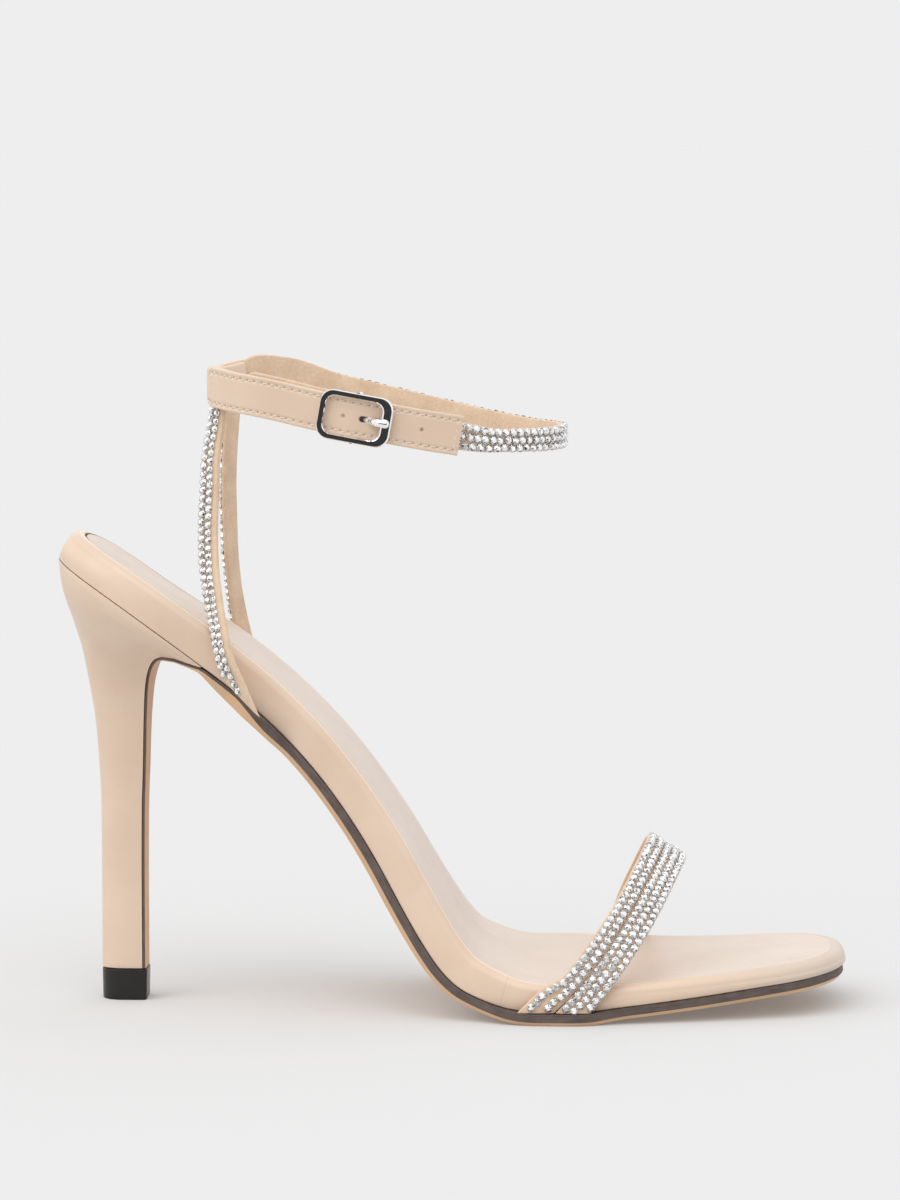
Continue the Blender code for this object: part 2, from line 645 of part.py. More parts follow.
def make_quarter(name, side, sleeve_turn, landing_along, look):
    """Strap from the sleeve down to the sole joint on one side."""
    top, _, up, _ = (part[0] for part in ankle(sleeve_turn))
    top = top - up * (sleeve_height / 2 + sleeve_drop - 0.7 * mm)
    lateral, medial = half_widths(np.array([landing_along]))
    wide = (lateral if side < 0 else medial)[0] + quarter_stand_off
    foot = last.place(landing_along, side * wide, 0.0)
    inner = "medial_" if side > 0 else ""
    share = np.stack([quarter_table[inner + "ahead"], quarter_table[inner + "out"],
                      quarter_table["down"]], axis=1)
    points = top + (foot - top) * share
    points = np.concatenate((points, points[-1:] + unit(points[-1] - points[-2]) * 6 * mm))
    centre = through(points, 30)
    length = np.linspace(0, 1, 30)
    knots = np.concatenate(([0.0], np.cumsum(np.linalg.norm(np.diff(points, axis=0), axis=1))))
    knots /= knots[-1]
    turn = np.radians(np.interp(length, knots[:-1], quarter_table[inner + "turn"]))
    dip = np.radians(np.interp(length, knots[:-1], quarter_table["dip"]))
    facing = np.stack([-np.cos(turn) * np.cos(dip), side * np.sin(turn) * np.cos(dip),
                       -np.sin(dip)], axis=1)
    tangent = unit(np.gradient(centre, axis=0))
    outward = unit(facing - tangent * np.sum(facing * tangent, axis=1, keepdims=True))
    across = np.cross(outward, tangent)
    rings = ribbon_rings(centre, across, outward, flat_profile(quarter_width, quarter_thick))
    rings = trimmed(rings, tangent, *sole_plane(landing_along), False)
    return shell_of_rings(name, list(rings), end_caps(rings.shape[1]), look)


def make_ankle_strap(look):
    """Strap from under the billet round the front, through the sleeve, to the buckle."""
    bar_end = 360 + buckle_turn - 1.4
    turn = np.linspace(strap_end_turn, bar_end, 92)
    centre, _, up, outward = ankle(turn)
    plain = np.clip((turn - 314) / 10, 0, 1)[:, None, None]
    profile = (flat_profile(strap_width, strap_thick) * (1 - plain)
               + flat_profile(plain_strap_width, plain_strap_thick) * plain)
    rings = ribbon_rings(centre, up, outward, profile)
    strap = shell_of_rings("ankle_strap", list(rings), end_caps(rings.shape[1]), look)
    inner, outer = centre_bar_radius + gap, centre_bar_radius + gap + keeper_wall
    fold = make_eye("fold", inner, outer, plain_strap_width, look)
    combine(strap, fold, "UNION")
    slot = make_block("slot", (-outer - 0.3 * mm, outer + 0.3 * mm), prong_radius + gap,
                      (-outer - 0.3 * mm, outer + 0.3 * mm), look)
    combine(strap, slot, "DIFFERENCE")
    return strap


def make_eye(name, inner, outer, width, look, sides=14):
    """Short tube round the buckle's centre bar."""
    turn = np.linspace(0, 2 * math.pi, sides, endpoint=False)
    rings = []
    for radius, up in ((outer, -width / 2), (outer, width / 2), (inner, width / 2),
                       (inner, -width / 2)):
        rings.append(buckle_place(radius * np.cos(turn), np.full(sides, up),
                                  radius * np.sin(turn)))
    faces = []
    for i in range(4):
        faces += bridge(i * sides, (i + 1) % 4 * sides, sides)
    return finish(name, np.concatenate(rings), faces, look)


def make_block(name, ahead, half_up, out, look):
    """Box in the buckle's frame, used to cut slots."""
    corners = [buckle_place(a, u, o) for o in out
               for a, u in ((ahead[0], -half_up), (ahead[1], -half_up),
                            (ahead[1], half_up), (ahead[0], half_up))]
    faces = bridge(0, 4, 4) + [(0, 1, 2, 3), (4, 5, 6, 7)]
    return finish(name, corners, faces, look)


def make_billet(look):
    """Plain strap with the buckle's holes, lying outside the ankle strap."""
    turn = np.linspace(billet_tip_turn, billet_root_turn, 44)
    centre, _, up, outward = ankle(turn)
    out = smooth(billet_table["turn"], billet_table["out"], turn) * strap_thick
    centre = centre + out[:, None] * outward
    width = np.full(len(turn), billet_width)
    width[0] -= 1.6 * mm
    profile = np.stack([flat_profile(w, billet_thick, 0.3 * mm) for w in width])
    rings = ribbon_rings(centre, up, outward, profile)
    billet = shell_of_rings("ankle_billet", list(rings), end_caps(rings.shape[1]), look)
    half = prong_slot_length / 2
    slot = make_block("slot", (prong_hole_place - half, prong_hole_place + half),
                      prong_radius + gap, (0.2 * mm, 6 * mm), look)
    combine(billet, slot, "DIFFERENCE")
    return billet


def rounded_loop(back, front, half_up, corner):
    """Rounded rectangle as a loop of places ahead and up."""
    points = []
    for middle_a, middle_u, start in ((front - corner, half_up - corner, 0),
                                      (back + corner, half_up - corner, 90),
                                      (back + corner, corner - half_up, 180),
                                      (front - corner, corner - half_up, 270)):
        for turn in np.radians(np.linspace(start, start + 90, 6)):
            points.append((middle_a + corner * math.cos(turn), middle_u + corner * math.sin(turn)))
        if start in (0, 180):
            end = back + corner if start == 0 else front - corner
            for share in (0.2, 0.4, 0.6, 0.8):
                points.append((middle_a + (end - middle_a) * share, points[-1][1]))
    return np.array(points)


def frame_out(ahead):
    """How far out the buckle's frame lies: it bends round the ankle."""
    return buckle_stand - ahead ** 2 * ankle_width / ankle_length ** 2


def make_buckle(look):
    """Bent frame with a wide front bar, and a centre bar dropped between its long sides."""
    half = buckle_length / 2
    outer = rounded_loop(-half, half, buckle_height / 2, buckle_corner)
    inner = rounded_loop(-half + buckle_bar_left, half - buckle_bar_right,
                         billet_width / 2 + gap + 0.1 * mm, buckle_corner - 1.0 * mm)
    rings = []
    for share, rise in ((0.0, 0.0), (0.25, 0.5), (0.75, 0.5), (1.0, 0.0), (0.75, -0.5),
                        (0.25, -0.5)):
        place = outer + (inner - outer) * share
        out = frame_out(place[:, 0]) + rise * buckle_thick
        rings.append(buckle_place(place[:, 0], place[:, 1], out))
    count = len(outer)
    faces = []
    for i in range(6):
        faces += bridge(i * count, (i + 1) % 6 * count, count)
    frame = finish("buckle_frame", np.concatenate(rings), faces, look)
    turn = np.linspace(0, 2 * math.pi, 8, endpoint=False)
    reach = (buckle_height / 2 + billet_width / 2 + gap) / 2 + 0.05 * mm
    bar = []
    for up, out, lean_up, lean_out in ((-reach, buckle_stand, -1, 0), (-reach, 0, -1, -1),
                                       (reach, 0, 1, -1), (reach, buckle_stand, 1, 0)):
        bar.append(buckle_place(centre_bar_radius * np.cos(turn),
                                up + lean_up * centre_bar_radius * np.sin(turn),
                                out + lean_out * centre_bar_radius * np.sin(turn)))
    bar = shell_of_rings("bar", bar, end_caps(8), look)
    combine(frame, bar, "UNION")
    return frame


def make_prong(look):
    """Eye on the centre bar and a shank that rests on the front bar."""
    inner = centre_bar_radius + gap
    prong = make_eye("buckle_prong", inner, inner + keeper_wall, 2 * prong_radius, look)
    rest = buckle_length / 2 - buckle_bar_right / 2
    over = frame_out(rest) + buckle_thick / 2 + gap + prong_radius
    start, start_out = inner + 0.1 * mm, inner + 0.1 * mm
    turn = np.linspace(0, 2 * math.pi, 8, endpoint=False)
    rings = []
    for share, size in ((0.0, 1.0), (0.4, 1.0), (0.8, 1.0), (1.06, 0.95), (1.12, 0.55)):
        ahead = start + (rest - start) * share
        out = start_out + (over - start_out) * min(share / 0.8, 1.0)
        rings.append(buckle_place(ahead + 0 * turn, size * prong_radius * np.cos(turn),
                                  out + size * prong_radius * np.sin(turn)))
    shank = shell_of_rings("shank", rings, end_caps(8), look)
    combine(prong, shank, "UNION")
    return prong


def clear_scene():
    for thing in list(bpy.data.objects):
        bpy.data.objects.remove(thing)


def main():
    clear_scene()
    nude = material("nude_leather", (0.78, 0.60, 0.45), 0.42)
    satin = material("sock_satin", (0.83, 0.70, 0.62), 0.5)
    painted = material("painted_edge", (0.10, 0.09, 0.10), 0.6)
    black = material("tip_rubber", (0.01, 0.01, 0.01), 0.2)
    stones = material("stone_set_strap", (0.72, 0.62, 0.54), 0.3)
    chrome = material("chrome", (0.75, 0.75, 0.76), 0.12, 1.0)
    make_footbed(nude)
    make_sock(satin)
    make_heel(nude)
    make_heel_tip(black)
    make_outsole(painted)
    half = (rear_band_width + gap + front_band_width) / 2
    make_band("vamp_band_rear", rear_band_width / 2 - half, rear_band_width, stones)
    make_band("vamp_band_front", half - front_band_width / 2, front_band_width, stones)
    quarters = make_sleeve(nude)
    quarters.data.materials[0] = stones
    for side, turn, along in ((-1, quarter_turns[0], quarter_landing),
                              (1, quarter_turns[1], medial_quarter_landing)):
        combine(quarters, make_quarter("quarter", side, turn, along, stones), "UNION")
    make_ankle_strap(stones)
    make_billet(nude)
    make_buckle(chrome)
    make_prong(chrome)


main()
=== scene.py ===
import math

import bpy
import numpy as np
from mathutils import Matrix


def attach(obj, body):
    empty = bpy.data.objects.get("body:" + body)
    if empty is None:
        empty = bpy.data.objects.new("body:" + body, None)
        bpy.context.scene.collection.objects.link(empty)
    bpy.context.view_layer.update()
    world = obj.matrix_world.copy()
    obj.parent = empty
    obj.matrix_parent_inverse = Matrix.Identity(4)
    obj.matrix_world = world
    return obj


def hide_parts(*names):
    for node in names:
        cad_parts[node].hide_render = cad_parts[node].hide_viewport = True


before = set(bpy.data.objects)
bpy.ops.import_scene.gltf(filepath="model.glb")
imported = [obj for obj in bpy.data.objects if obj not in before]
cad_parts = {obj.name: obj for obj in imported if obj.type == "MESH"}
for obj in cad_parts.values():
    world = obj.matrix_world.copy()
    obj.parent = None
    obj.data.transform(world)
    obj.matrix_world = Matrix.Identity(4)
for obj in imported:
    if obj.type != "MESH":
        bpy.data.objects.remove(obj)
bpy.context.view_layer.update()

mm = 0.001
gap = 0.3 * mm
randomSource = np.random.default_rng(7)


# Sizes of the shoe: those of the solids, so each piece lies where its solid does. Only the first
# row of thicknesses and the ankle strap's width round the front differ
shoe = {
    "length": 254.0 * mm, "ballWidth": 73.5 * mm, "heelHeight": 116.0 * mm,
    "seatOverhang": 16.5 * mm, "seatRound": 27.0 * mm, "toeRound": 20.0 * mm,
    "thick": 9.2 * mm, "soleEdge": 1.9 * mm, "soleBevel": 0.9 * mm, "heelSeat": 47.0 * mm,
}


def table(columns, rows):
    # The values under each column's name, as one array a column
    return dict(zip(columns.split(), np.array(rows, dtype=float).T))


# Downward slope of the footbed's underside in degrees, at shares of its length
slopes = table("along slope", (
    (0.000, 27.0), (0.059, 32.0), (0.118, 35.3), (0.196, 37.0), (0.255, 41.5),
    (0.314, 46.8), (0.373, 53.0), (0.431, 57.5), (0.478, 60.5), (0.525, 58.5),
    (0.561, 54.0), (0.588, 43.0), (0.613, 25.0), (0.639, 18.0), (0.690, 0.0),
    (0.722, 0.0), (0.749, -8.5), (0.784, -6.0), (0.882, -7.0), (1.000, -7.5)))

# Half widths of the footbed, as shares of half the ball width
widths = table("along lateral medial", (
    (0.000, 0.68, 0.66), (0.080, 0.69, 0.67), (0.130, 0.71, 0.69), (0.200, 0.695, 0.655),
    (0.295, 0.66, 0.60), (0.390, 0.70, 0.62), (0.490, 0.79, 0.72), (0.580, 0.90, 0.88),
    (0.660, 0.985, 0.985), (0.720, 1.00, 1.00), (0.770, 0.985, 0.98), (0.835, 0.905, 0.935),
    (0.895, 0.80, 0.86), (0.940, 0.72, 0.78), (1.000, 0.62, 0.68)))

# Thickness of the footbed, as shares of its greatest thickness
thicknesses = table("along lateral medial", (
    (0.00, 0.950, 0.90), (0.10, 0.967, 0.73), (0.20, 0.990, 0.87), (0.27, 0.967, 0.935),
    (0.36, 0.920, 0.967), (0.52, 0.955, 1.000), (0.60, 0.940, 1.000), (0.66, 0.830, 0.967),
    (0.72, 0.685, 0.960), (0.77, 0.620, 0.810), (0.84, 0.540, 0.600), (0.92, 0.475, 0.480),
    (1.00, 0.440, 0.440)))


def smoothCurve(knots, values, at):
    # Monotone cubic: between two knots the curve never passes beyond their values
    step = np.diff(knots)
    slope = np.diff(values) / step
    sameWay = slope[:-1] * slope[1:] > 0
    before = np.where(sameWay, slope[:-1], 1.0)
    after = np.where(sameWay, slope[1:], 1.0)
    weightBefore = 2 * step[1:] + step[:-1]
    weightAfter = step[1:] + 2 * step[:-1]
    mean = (weightBefore + weightAfter) / (weightBefore / before + weightAfter / after)
    tangent = np.concatenate(([slope[0]], np.where(sameWay, mean, 0.0), [slope[-1]]))
    return cubic(knots, values, tangent, at)


def cubic(knots, values, tangent, at):
    # Cubic through the values at the knots, with the given tangents there
    step = np.diff(knots)
    cell = np.clip(np.searchsorted(knots, at, side="right") - 1, 0, len(step) - 1)
    width = step[cell]
    share = (at - knots[cell]) / width
    if values.ndim > 1:
        width, share = width[:, None], share[:, None]
    rest = 1 - share
    return (values[cell] * (1 + 2 * share) * rest ** 2
            + values[cell + 1] * (3 - 2 * share) * share ** 2
            + width * (tangent[cell] * share * rest ** 2 - tangent[cell + 1] * share ** 2 * rest))


def lengthsAlong(points):
    # Running length: the sum of the steps up to each point
    return np.concatenate(([0.0], np.cumsum(np.linalg.norm(np.diff(points, axis=0), axis=1))))


def throughPoints(points, count):
    # Smooth curve through the points, then count places evenly spaced along it
    points = np.array(points, dtype=float)
    knots = lengthsAlong(points)
    tangent = np.gradient(points, knots, axis=0, edge_order=2)
    fine = cubic(knots, points, tangent, np.linspace(0, knots[-1], 12 * count))
    length = lengthsAlong(fine)
    even = np.linspace(0, length[-1], count)
    return np.stack([np.interp(even, length, column) for column in fine.T], axis=1)


def unit(vectors):
    # Each vector divided by its own length
    return vectors / np.linalg.norm(vectors, axis=-1, keepdims=True)


def squareTo(vectors, axis):
    # Each vector without its part along the axis, made unit
    return unit(vectors - axis * np.sum(vectors * axis, axis=1, keepdims=True))


def ease(share):
    # From 0 to 1 with flat ends: share squared times 3 minus 2 shares
    share = np.clip(share, 0, 1)
    return share * share * (3 - 2 * share)


class SideLine:
    # A line seen from the side; a place on the shoe is a length along it, a distance to the
    # medial side and a height square to it
    def __init__(self, x, z):
        self.along = np.concatenate(([0.0], np.cumsum(np.hypot(np.diff(x), np.diff(z)))))
        self.x, self.z = x, z
        angle = np.unwrap(np.arctan2(-np.diff(z), np.diff(x)))
        self.angle = np.concatenate((angle[:1], (angle[:-1] + angle[1:]) / 2, angle[-1:]))

    def place(self, along, side, height):
        # The line's own point, plus the height times the sine and cosine of its angle
        angle = np.interp(along, self.along, self.angle)
        x = np.interp(along, self.along, self.x) + height * np.sin(angle)
        z = np.interp(along, self.along, self.z) + height * np.cos(angle)
        return np.stack(np.broadcast_arrays(x, side, z), axis=-1)


def makeLast(samples=600):
    # The slopes are steepened by one factor until the seat has its height
    share = np.linspace(0, 1, samples + 1)
    slope = np.radians(smoothCurve(slopes["along"], slopes["slope"], share))
    sole = shoe["soleEdge"] + shoe["soleBevel"] + gap
    step = shoe["length"] / samples
    low, high = 0.1, 1.45
    for _ in range(50):
        factor = (low + high) / 2
        angle = np.where(slope > 0, slope * factor, slope)
        middle = (angle[:-1] + angle[1:]) / 2
        z = np.concatenate(([0.0], np.cumsum(-np.sin(middle) * step)))
        if sole - z.min() < shoe["heelHeight"]:
            low = factor
        else:
            high = factor
    x = np.concatenate(([0.0], np.cumsum(np.cos(middle) * step)))
    return SideLine(x - shoe["seatOverhang"], z - z.min() + sole)


last = makeLast()


def roundOff(share, power):
    # A rounded end: the root of 1 minus the share raised to the power
    return (1 - np.clip(share, 0, 1) ** power) ** (1 / power)


def halfWidths(along):
    # Half the ball width times the table's share, rounded off at seat and toe
    share = along / shoe["length"]
    ends = roundOff(1 - along / shoe["seatRound"], 2.1)
    ends = ends * roundOff((along - shoe["length"] + shoe["toeRound"]) / shoe["toeRound"], 2.5)
    half = shoe["ballWidth"] / 2 * ends
    lateral = smoothCurve(widths["along"], widths["lateral"], share) * half
    medial = smoothCurve(widths["along"], widths["medial"], share) * half
    return lateral, medial


def thicknessAt(along, side):
    # The top leans in a straight line from the lateral to the medial side. The lean is shared
    # out over the width without its rounded ends, so it stays even at the back of the seat
    share = along / shoe["length"]
    lateralWide = smoothCurve(widths["along"], widths["lateral"], share) * shoe["ballWidth"] / 2
    medialWide = smoothCurve(widths["along"], widths["medial"], share) * shoe["ballWidth"] / 2
    across = (side + lateralWide) / (lateralWide + medialWide)
    lateral = smoothCurve(thicknesses["along"], thicknesses["lateral"], share)
    medial = smoothCurve(thicknesses["along"], thicknesses["medial"], share)
    return shoe["thick"] * (lateral + (medial - lateral) * np.clip(across, 0, 1))


def stations(start, seatCount=34, middleCount=190, toeCount=34):
    # Lengths along the footbed, closer together where its outline rounds
    toe = shoe["length"] - shoe["toeRound"]
    seat = shoe["seatRound"] * (1 - np.cos(np.linspace(0, math.pi / 2, seatCount)))
    first = seat if start == 0 else np.array([start])
    return np.concatenate((first, np.linspace(first[-1], toe, middleCount)[1:],
                           toe + shoe["toeRound"] * np.sin(np.linspace(0, math.pi / 2, toeCount)[1:])))


def outline(along, lateral, medial):
    # Loop out along the lateral side and back along the medial side
    pointed = lateral[0] == 0
    inner = slice(1, -1) if pointed else slice(0, -1)
    out = np.stack([along[inner], -lateral[inner]], axis=1)
    back = np.stack([along[inner], medial[inner]], axis=1)[::-1]
    first = np.array([[along[0], 0.0]]) if pointed else np.zeros((0, 2))
    return np.concatenate((first, out, [[along[-1], 0.0]], back))


def inset(loop, distance):
    # Each point moves inwards, square to the loop's own direction there
    ahead = np.roll(loop, -1, axis=0) - loop
    behind = loop - np.roll(loop, 1, axis=0)
    tangent = unit(unit(ahead) + unit(behind))
    normal = np.stack([-tangent[:, 1], tangent[:, 0]], axis=1)
    return loop + normal * np.reshape(distance, (-1, 1))


# Mesh helpers

def gridFaces(rows, columns, closeRows=False, closeColumns=True, first=0):
    # Corners of a grid's quads: each point, the next in its row, and the two in the next row
    r = np.arange(rows if closeRows else rows - 1)[:, None]
    c = np.arange(columns if closeColumns else columns - 1)[None, :]
    nextRow, nextColumn = (r + 1) % rows, (c + 1) % columns
    corners = (r * columns + c, r * columns + nextColumn,
               nextRow * columns + nextColumn, nextRow * columns + c)
    return first + np.stack(corners, axis=-1).reshape(-1, 4)


def acrossFaces(count, first, pointed):
    # Quads over a loop, from each lateral point to the medial point beside it
    start = 1 if pointed else 0
    steps = (count - 1 - start) // 2
    i = np.arange(steps)
    left, right = start + i, count - 1 - i
    keep = right - left > 2
    left, right = left[keep], right[keep]
    quads = np.stack([left, left + 1, right - 1, right], axis=1) + first
    ends = [[left[-1] + 1, left[-1] + 2, right[-1] - 1]]
    if pointed:
        ends.append([0, 1, count - 1])
    return quads, np.array(ends) + first


def shellFaces(rows, count, pointed):
    # Walls between the rings, then strips across the first ring and the last
    start, end = acrossFaces(count, 0, pointed), acrossFaces(count, (rows - 1) * count, pointed)
    quads = np.concatenate((gridFaces(rows, count), start[0][:, ::-1], end[0]))
    return quads, np.concatenate((start[1][:, ::-1], end[1]))


def layered(line, loop, steps, holdEnds=False):
    # One ring a step: the loop moved inwards by the step's distance, at the step's height
    rings = []
    for distance, height in steps:
        moved = inset(loop, distance)
        if holdEnds:
            moved[[0, -1], 0] = loop[[0, -1], 0]
        rings.append(line.place(moved[:, 0], moved[:, 1], height))
    return np.array(rings)


def signedVolume(points, faces):
    # Six times the volume: a times the cross product of b and c, summed over triangles
    total = 0.0
    for corners in faces:
        a = points[corners[:, 0]]
        for i in range(1, corners.shape[1] - 1):
            b, c = points[corners[:, i]], points[corners[:, i + 1]]
            total += np.einsum("ij,ij->", a, np.cross(b, c))
    return total


def newPiece(name, points, faces, looks, sharp=40, marks=None, lookOf=None, faceMarks=None):
    # Faces are arrays of corners, one for each number of corners. They turn outwards by the
    # sign of the volume that they hold
    points = np.asarray(points, dtype=float).reshape(-1, 3)
    faces = [np.asarray(f) for f in faces if len(f)]
    if signedVolume(points, faces) < 0:
        faces = [f[:, ::-1] for f in faces]
    mesh = bpy.data.meshes.new(name)
    corners = np.concatenate([f.ravel() for f in faces]).astype(np.int32)
    sizes = np.concatenate([np.full(len(f), f.shape[1]) for f in faces])
    mesh.vertices.add(len(points))
    mesh.vertices.foreach_set("co", points.ravel())
    mesh.loops.add(len(corners))
    mesh.loops.foreach_set("vertex_index", corners)
    mesh.polygons.add(len(sizes))
    starts = np.concatenate(([0], np.cumsum(sizes)[:-1]))
    mesh.polygons.foreach_set("loop_start", starts.astype(np.int32))
    mesh.update(calc_edges=True)
    for look in looks:
        mesh.materials.append(look)
    if lookOf is not None:
        mesh.polygons.foreach_set("material_index", np.asarray(lookOf, dtype=np.int32))
    for key, values in (marks or {}).items():
        mesh.attributes.new(key, "FLOAT", "POINT").data.foreach_set("value", np.ravel(values))
    for key, values in (faceMarks or {}).items():
        mesh.attributes.new(key, "FLOAT", "FACE").data.foreach_set("value", np.ravel(values))
    mesh.shade_smooth()
    if sharp is not None:
        mesh.set_sharp_from_angle(angle=math.radians(sharp))
    piece = bpy.data.objects.new(name, mesh)
    bpy.context.scene.collection.objects.link(piece)
    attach(piece, "root")
    return piece


def cappedTube(name, rings, looks, **extra):
    # Rings joined in order; the end rings close with a fan round their middle
    rows, columns = rings.shape[:2]
    points = np.concatenate((rings.reshape(-1, 3), rings[[0, -1]].mean(axis=1)))
    i = np.arange(columns)
    j = (i + 1) % columns
    body = rows * columns
    start = np.stack([j, i, np.full(columns, body)], axis=1)
    end = np.stack([body - columns + i, body - columns + j, np.full(columns, body + 1)], axis=1)
    marks = extra.pop("marks", None)
    if marks:
        marks = {key: np.concatenate((np.ravel(value), [value.flat[0], value.flat[-1]]))
                 for key, value in marks.items()}
    return newPiece(name, points, [gridFaces(rows, columns), np.concatenate((start, end))], looks,
                    marks=marks, **extra)


# Straps: a path with its own directions, and a profile carried along it

def makePath(centre, across, outward):
    # The tangent is the centre's change from point to point, made unit
    tangent = unit(np.gradient(centre, axis=0))
    return {"centre": centre, "across": across, "outward": outward, "tangent": tangent,
            "length": lengthsAlong(centre)}


def atLengths(path, lengths):
    # The path's parts at these lengths, in straight lines between its points
    spots = {}
    for key in ("centre", "across", "outward", "tangent"):
        spots[key] = np.stack([np.interp(lengths, path["length"], column)
                               for column in path[key].T], axis=1)
    return spots


def carried(path, profile):
    # Each profile point: the centre, plus its share across, plus its share outwards
    profile = np.broadcast_to(profile, (len(path["centre"]), *np.shape(profile)[-2:]))
    return (path["centre"][:, None, :] + profile[:, :, :1] * path["across"][:, None, :]
            + profile[:, :, 1:] * path["outward"][:, None, :])


def strapProfile(width, thick, crown, radius, count=18):
    # Closed section: a crowned outer side, round edges and a flat inner side
    half = width / 2
    turn = np.linspace(0, math.pi / 2, 5)
    top = np.linspace(-1, 1, count)
    corner = half - radius
    outer = np.stack([top * corner, thick / 2 + crown * (1 - top ** 2)], axis=1)
    sine, cosine = radius * np.sin(turn), radius * np.cos(turn)
    right = np.stack([corner + sine, thick / 2 - radius + cosine], axis=1)[1:]
    rightLow = np.stack([corner + cosine, -thick / 2 + radius - sine], axis=1)
    left = rightLow[::-1] * (-1, 1)
    leftTop = right[::-1] * (-1, 1)
    return np.concatenate((outer, right, rightLow, left, leftTop))


def trimmed(rings, tangent, origin, normal, fromStart):
    # Rings above a plane, and one more that is laid on the plane itself
    if not fromStart:
        return trimmed(rings[::-1], tangent[::-1], origin, normal, True)[::-1]
    height = (rings - origin) @ normal
    first = int(np.argmax(height.min(axis=1) > 0.25 * mm))
    along = height[first] / (tangent[first] @ normal)
    foot = rings[first] - along[:, None] * tangent[first]
    return np.concatenate((foot[None], rings[first:]))


def solePlane(along, height=0.15 * mm):
    # A point just above the footbed's underside, and the upward direction there
    origin = last.place(along, 0.0, height)
    return origin, last.place(along, 0.0, 1.0) - last.place(along, 0.0, 0.0)


# Materials

def newLook(name):
    # A new material: itself, its tree and its shader
    look = bpy.data.materials.new(name)
    look.use_nodes = True
    tree = look.node_tree
    return look, tree, tree.nodes["Principled BSDF"]


def setInputs(tree, node, values):
    # A socket is linked, and a constant goes on the node's own socket
    for key, value in values.items():
        if isinstance(value, bpy.types.NodeSocket):
            tree.links.new(value, node.inputs[key])
        else:
            node.inputs[key].default_value = value


def addNode(tree, kind, inputs=None, **settings):
    # Settings come first, since they decide which inputs a node has
    node = tree.nodes.new("ShaderNode" + kind)
    for key, value in settings.items():
        setattr(node, key, value)
    setInputs(tree, node, inputs or {})
    return node


def linear(red, green, blue):
    # Screen colours of 0 to 255 as the linear values that a shader takes
    c = np.array([red, green, blue]) / 255
    c = np.where(c <= 0.04045, c / 12.92, ((c + 0.055) / 1.055) ** 2.4)
    return (*c.tolist(), 1.0)


def darker(colour, share):
    # The colour times the share
    return (*(share * c for c in colour[:3]), 1.0)


def noiseOf(tree, scale, detail=3.0, roughness=0.5, where=None):
    # Cloudy noise of 0 to 1, by the object's own coordinates where no place is given
    if where is None:
        where = addNode(tree, "TexCoord").outputs["Object"]
    return addNode(tree, "TexNoise", {"Vector": where, "Scale": scale, "Detail": detail,
                                      "Roughness": roughness}).outputs["Fac"]


def mixedColour(tree, factor, first, second):
    # First times one minus factor, plus second times factor
    return addNode(tree, "Mix", {0: factor, 6: first, 7: second}, data_type="RGBA").outputs[2]


def ranged(tree, value, low, high, toLow=0.0, toHigh=1.0):
    # The value in a straight line from low to high onto toLow to toHigh, held beyond both
    return addNode(tree, "MapRange", {"Value": value, "From Min": low, "From Max": high,
                                      "To Min": toLow, "To Max": toHigh}).outputs["Result"]


def attribute(tree, name):
    # A mark that the mesh carries
    return addNode(tree, "Attribute", attribute_name=name, attribute_type="GEOMETRY").outputs["Fac"]


def maths(tree, operation, first, second):
    # The operation on two values
    return addNode(tree, "Math", {0: first, 1: second}, operation=operation).outputs[0]


def bumpOf(tree, height, strength, distance, below=None):
    # The normal, tilted by the height's slope; a coarse bump can lie on a fine one below it
    under = {} if below is None else {"Normal": below}
    return addNode(tree, "Bump", {"Strength": strength, "Distance": distance, "Height": height,
                                  **under}).outputs["Normal"]


def leatherLook(name, colour, shade, roughness=0.4, grain=0.12, coat=0.15):
    # Slow colour clouds, a fine pebbled grain and faint waves from the wrapping
    look, tree, shader = newLook(name)
    where = addNode(tree, "TexCoord").outputs["Object"]
    pebbles = addNode(tree, "TexVoronoi", {"Vector": where, "Scale": 1900.0}, feature="SMOOTH_F1")
    fine = bumpOf(tree, pebbles.outputs["Distance"], grain, 0.06 * mm)
    setInputs(tree, shader, {
        "Base Color": mixedColour(tree, ranged(tree, noiseOf(tree, 55.0), 0.35, 0.68), colour, shade),
        "Normal": bumpOf(tree, noiseOf(tree, 260.0, 2.0), 0.12, 0.2 * mm, fine),
        "Roughness": ranged(tree, noiseOf(tree, 420.0, 2.0), 0.3, 0.7,
                            roughness - 0.05, roughness + 0.06),
        "Coat Weight": coat, "Coat Roughness": 0.28})
    return look


def suedeLook(name, colour, shade):
    # Short fibres: fine noise in colour and bump, with a soft sheen
    look, tree, shader = newLook(name)
    fibres = noiseOf(tree, 1500.0, 2.0, 0.7)
    mixed = maths(tree, "ADD", fibres, noiseOf(tree, 160.0))
    setInputs(tree, shader, {
        "Base Color": mixedColour(tree, ranged(tree, mixed, 0.7, 1.3), colour, shade),
        "Normal": bumpOf(tree, fibres, 0.5, 0.12 * mm), "Roughness": 0.9, "Sheen Weight": 0.35,
        "Sheen Roughness": 0.5, "Specular IOR Level": 0.25})
    return look


def plainLeather(name, colour, shade):
    # Leather with the socket of its colour, for a look that paints over it
    look = leatherLook(name, colour, shade)
    shader = look.node_tree.nodes["Principled BSDF"]
    return look, look.node_tree, shader, shader.inputs["Base Color"].links[0].from_socket


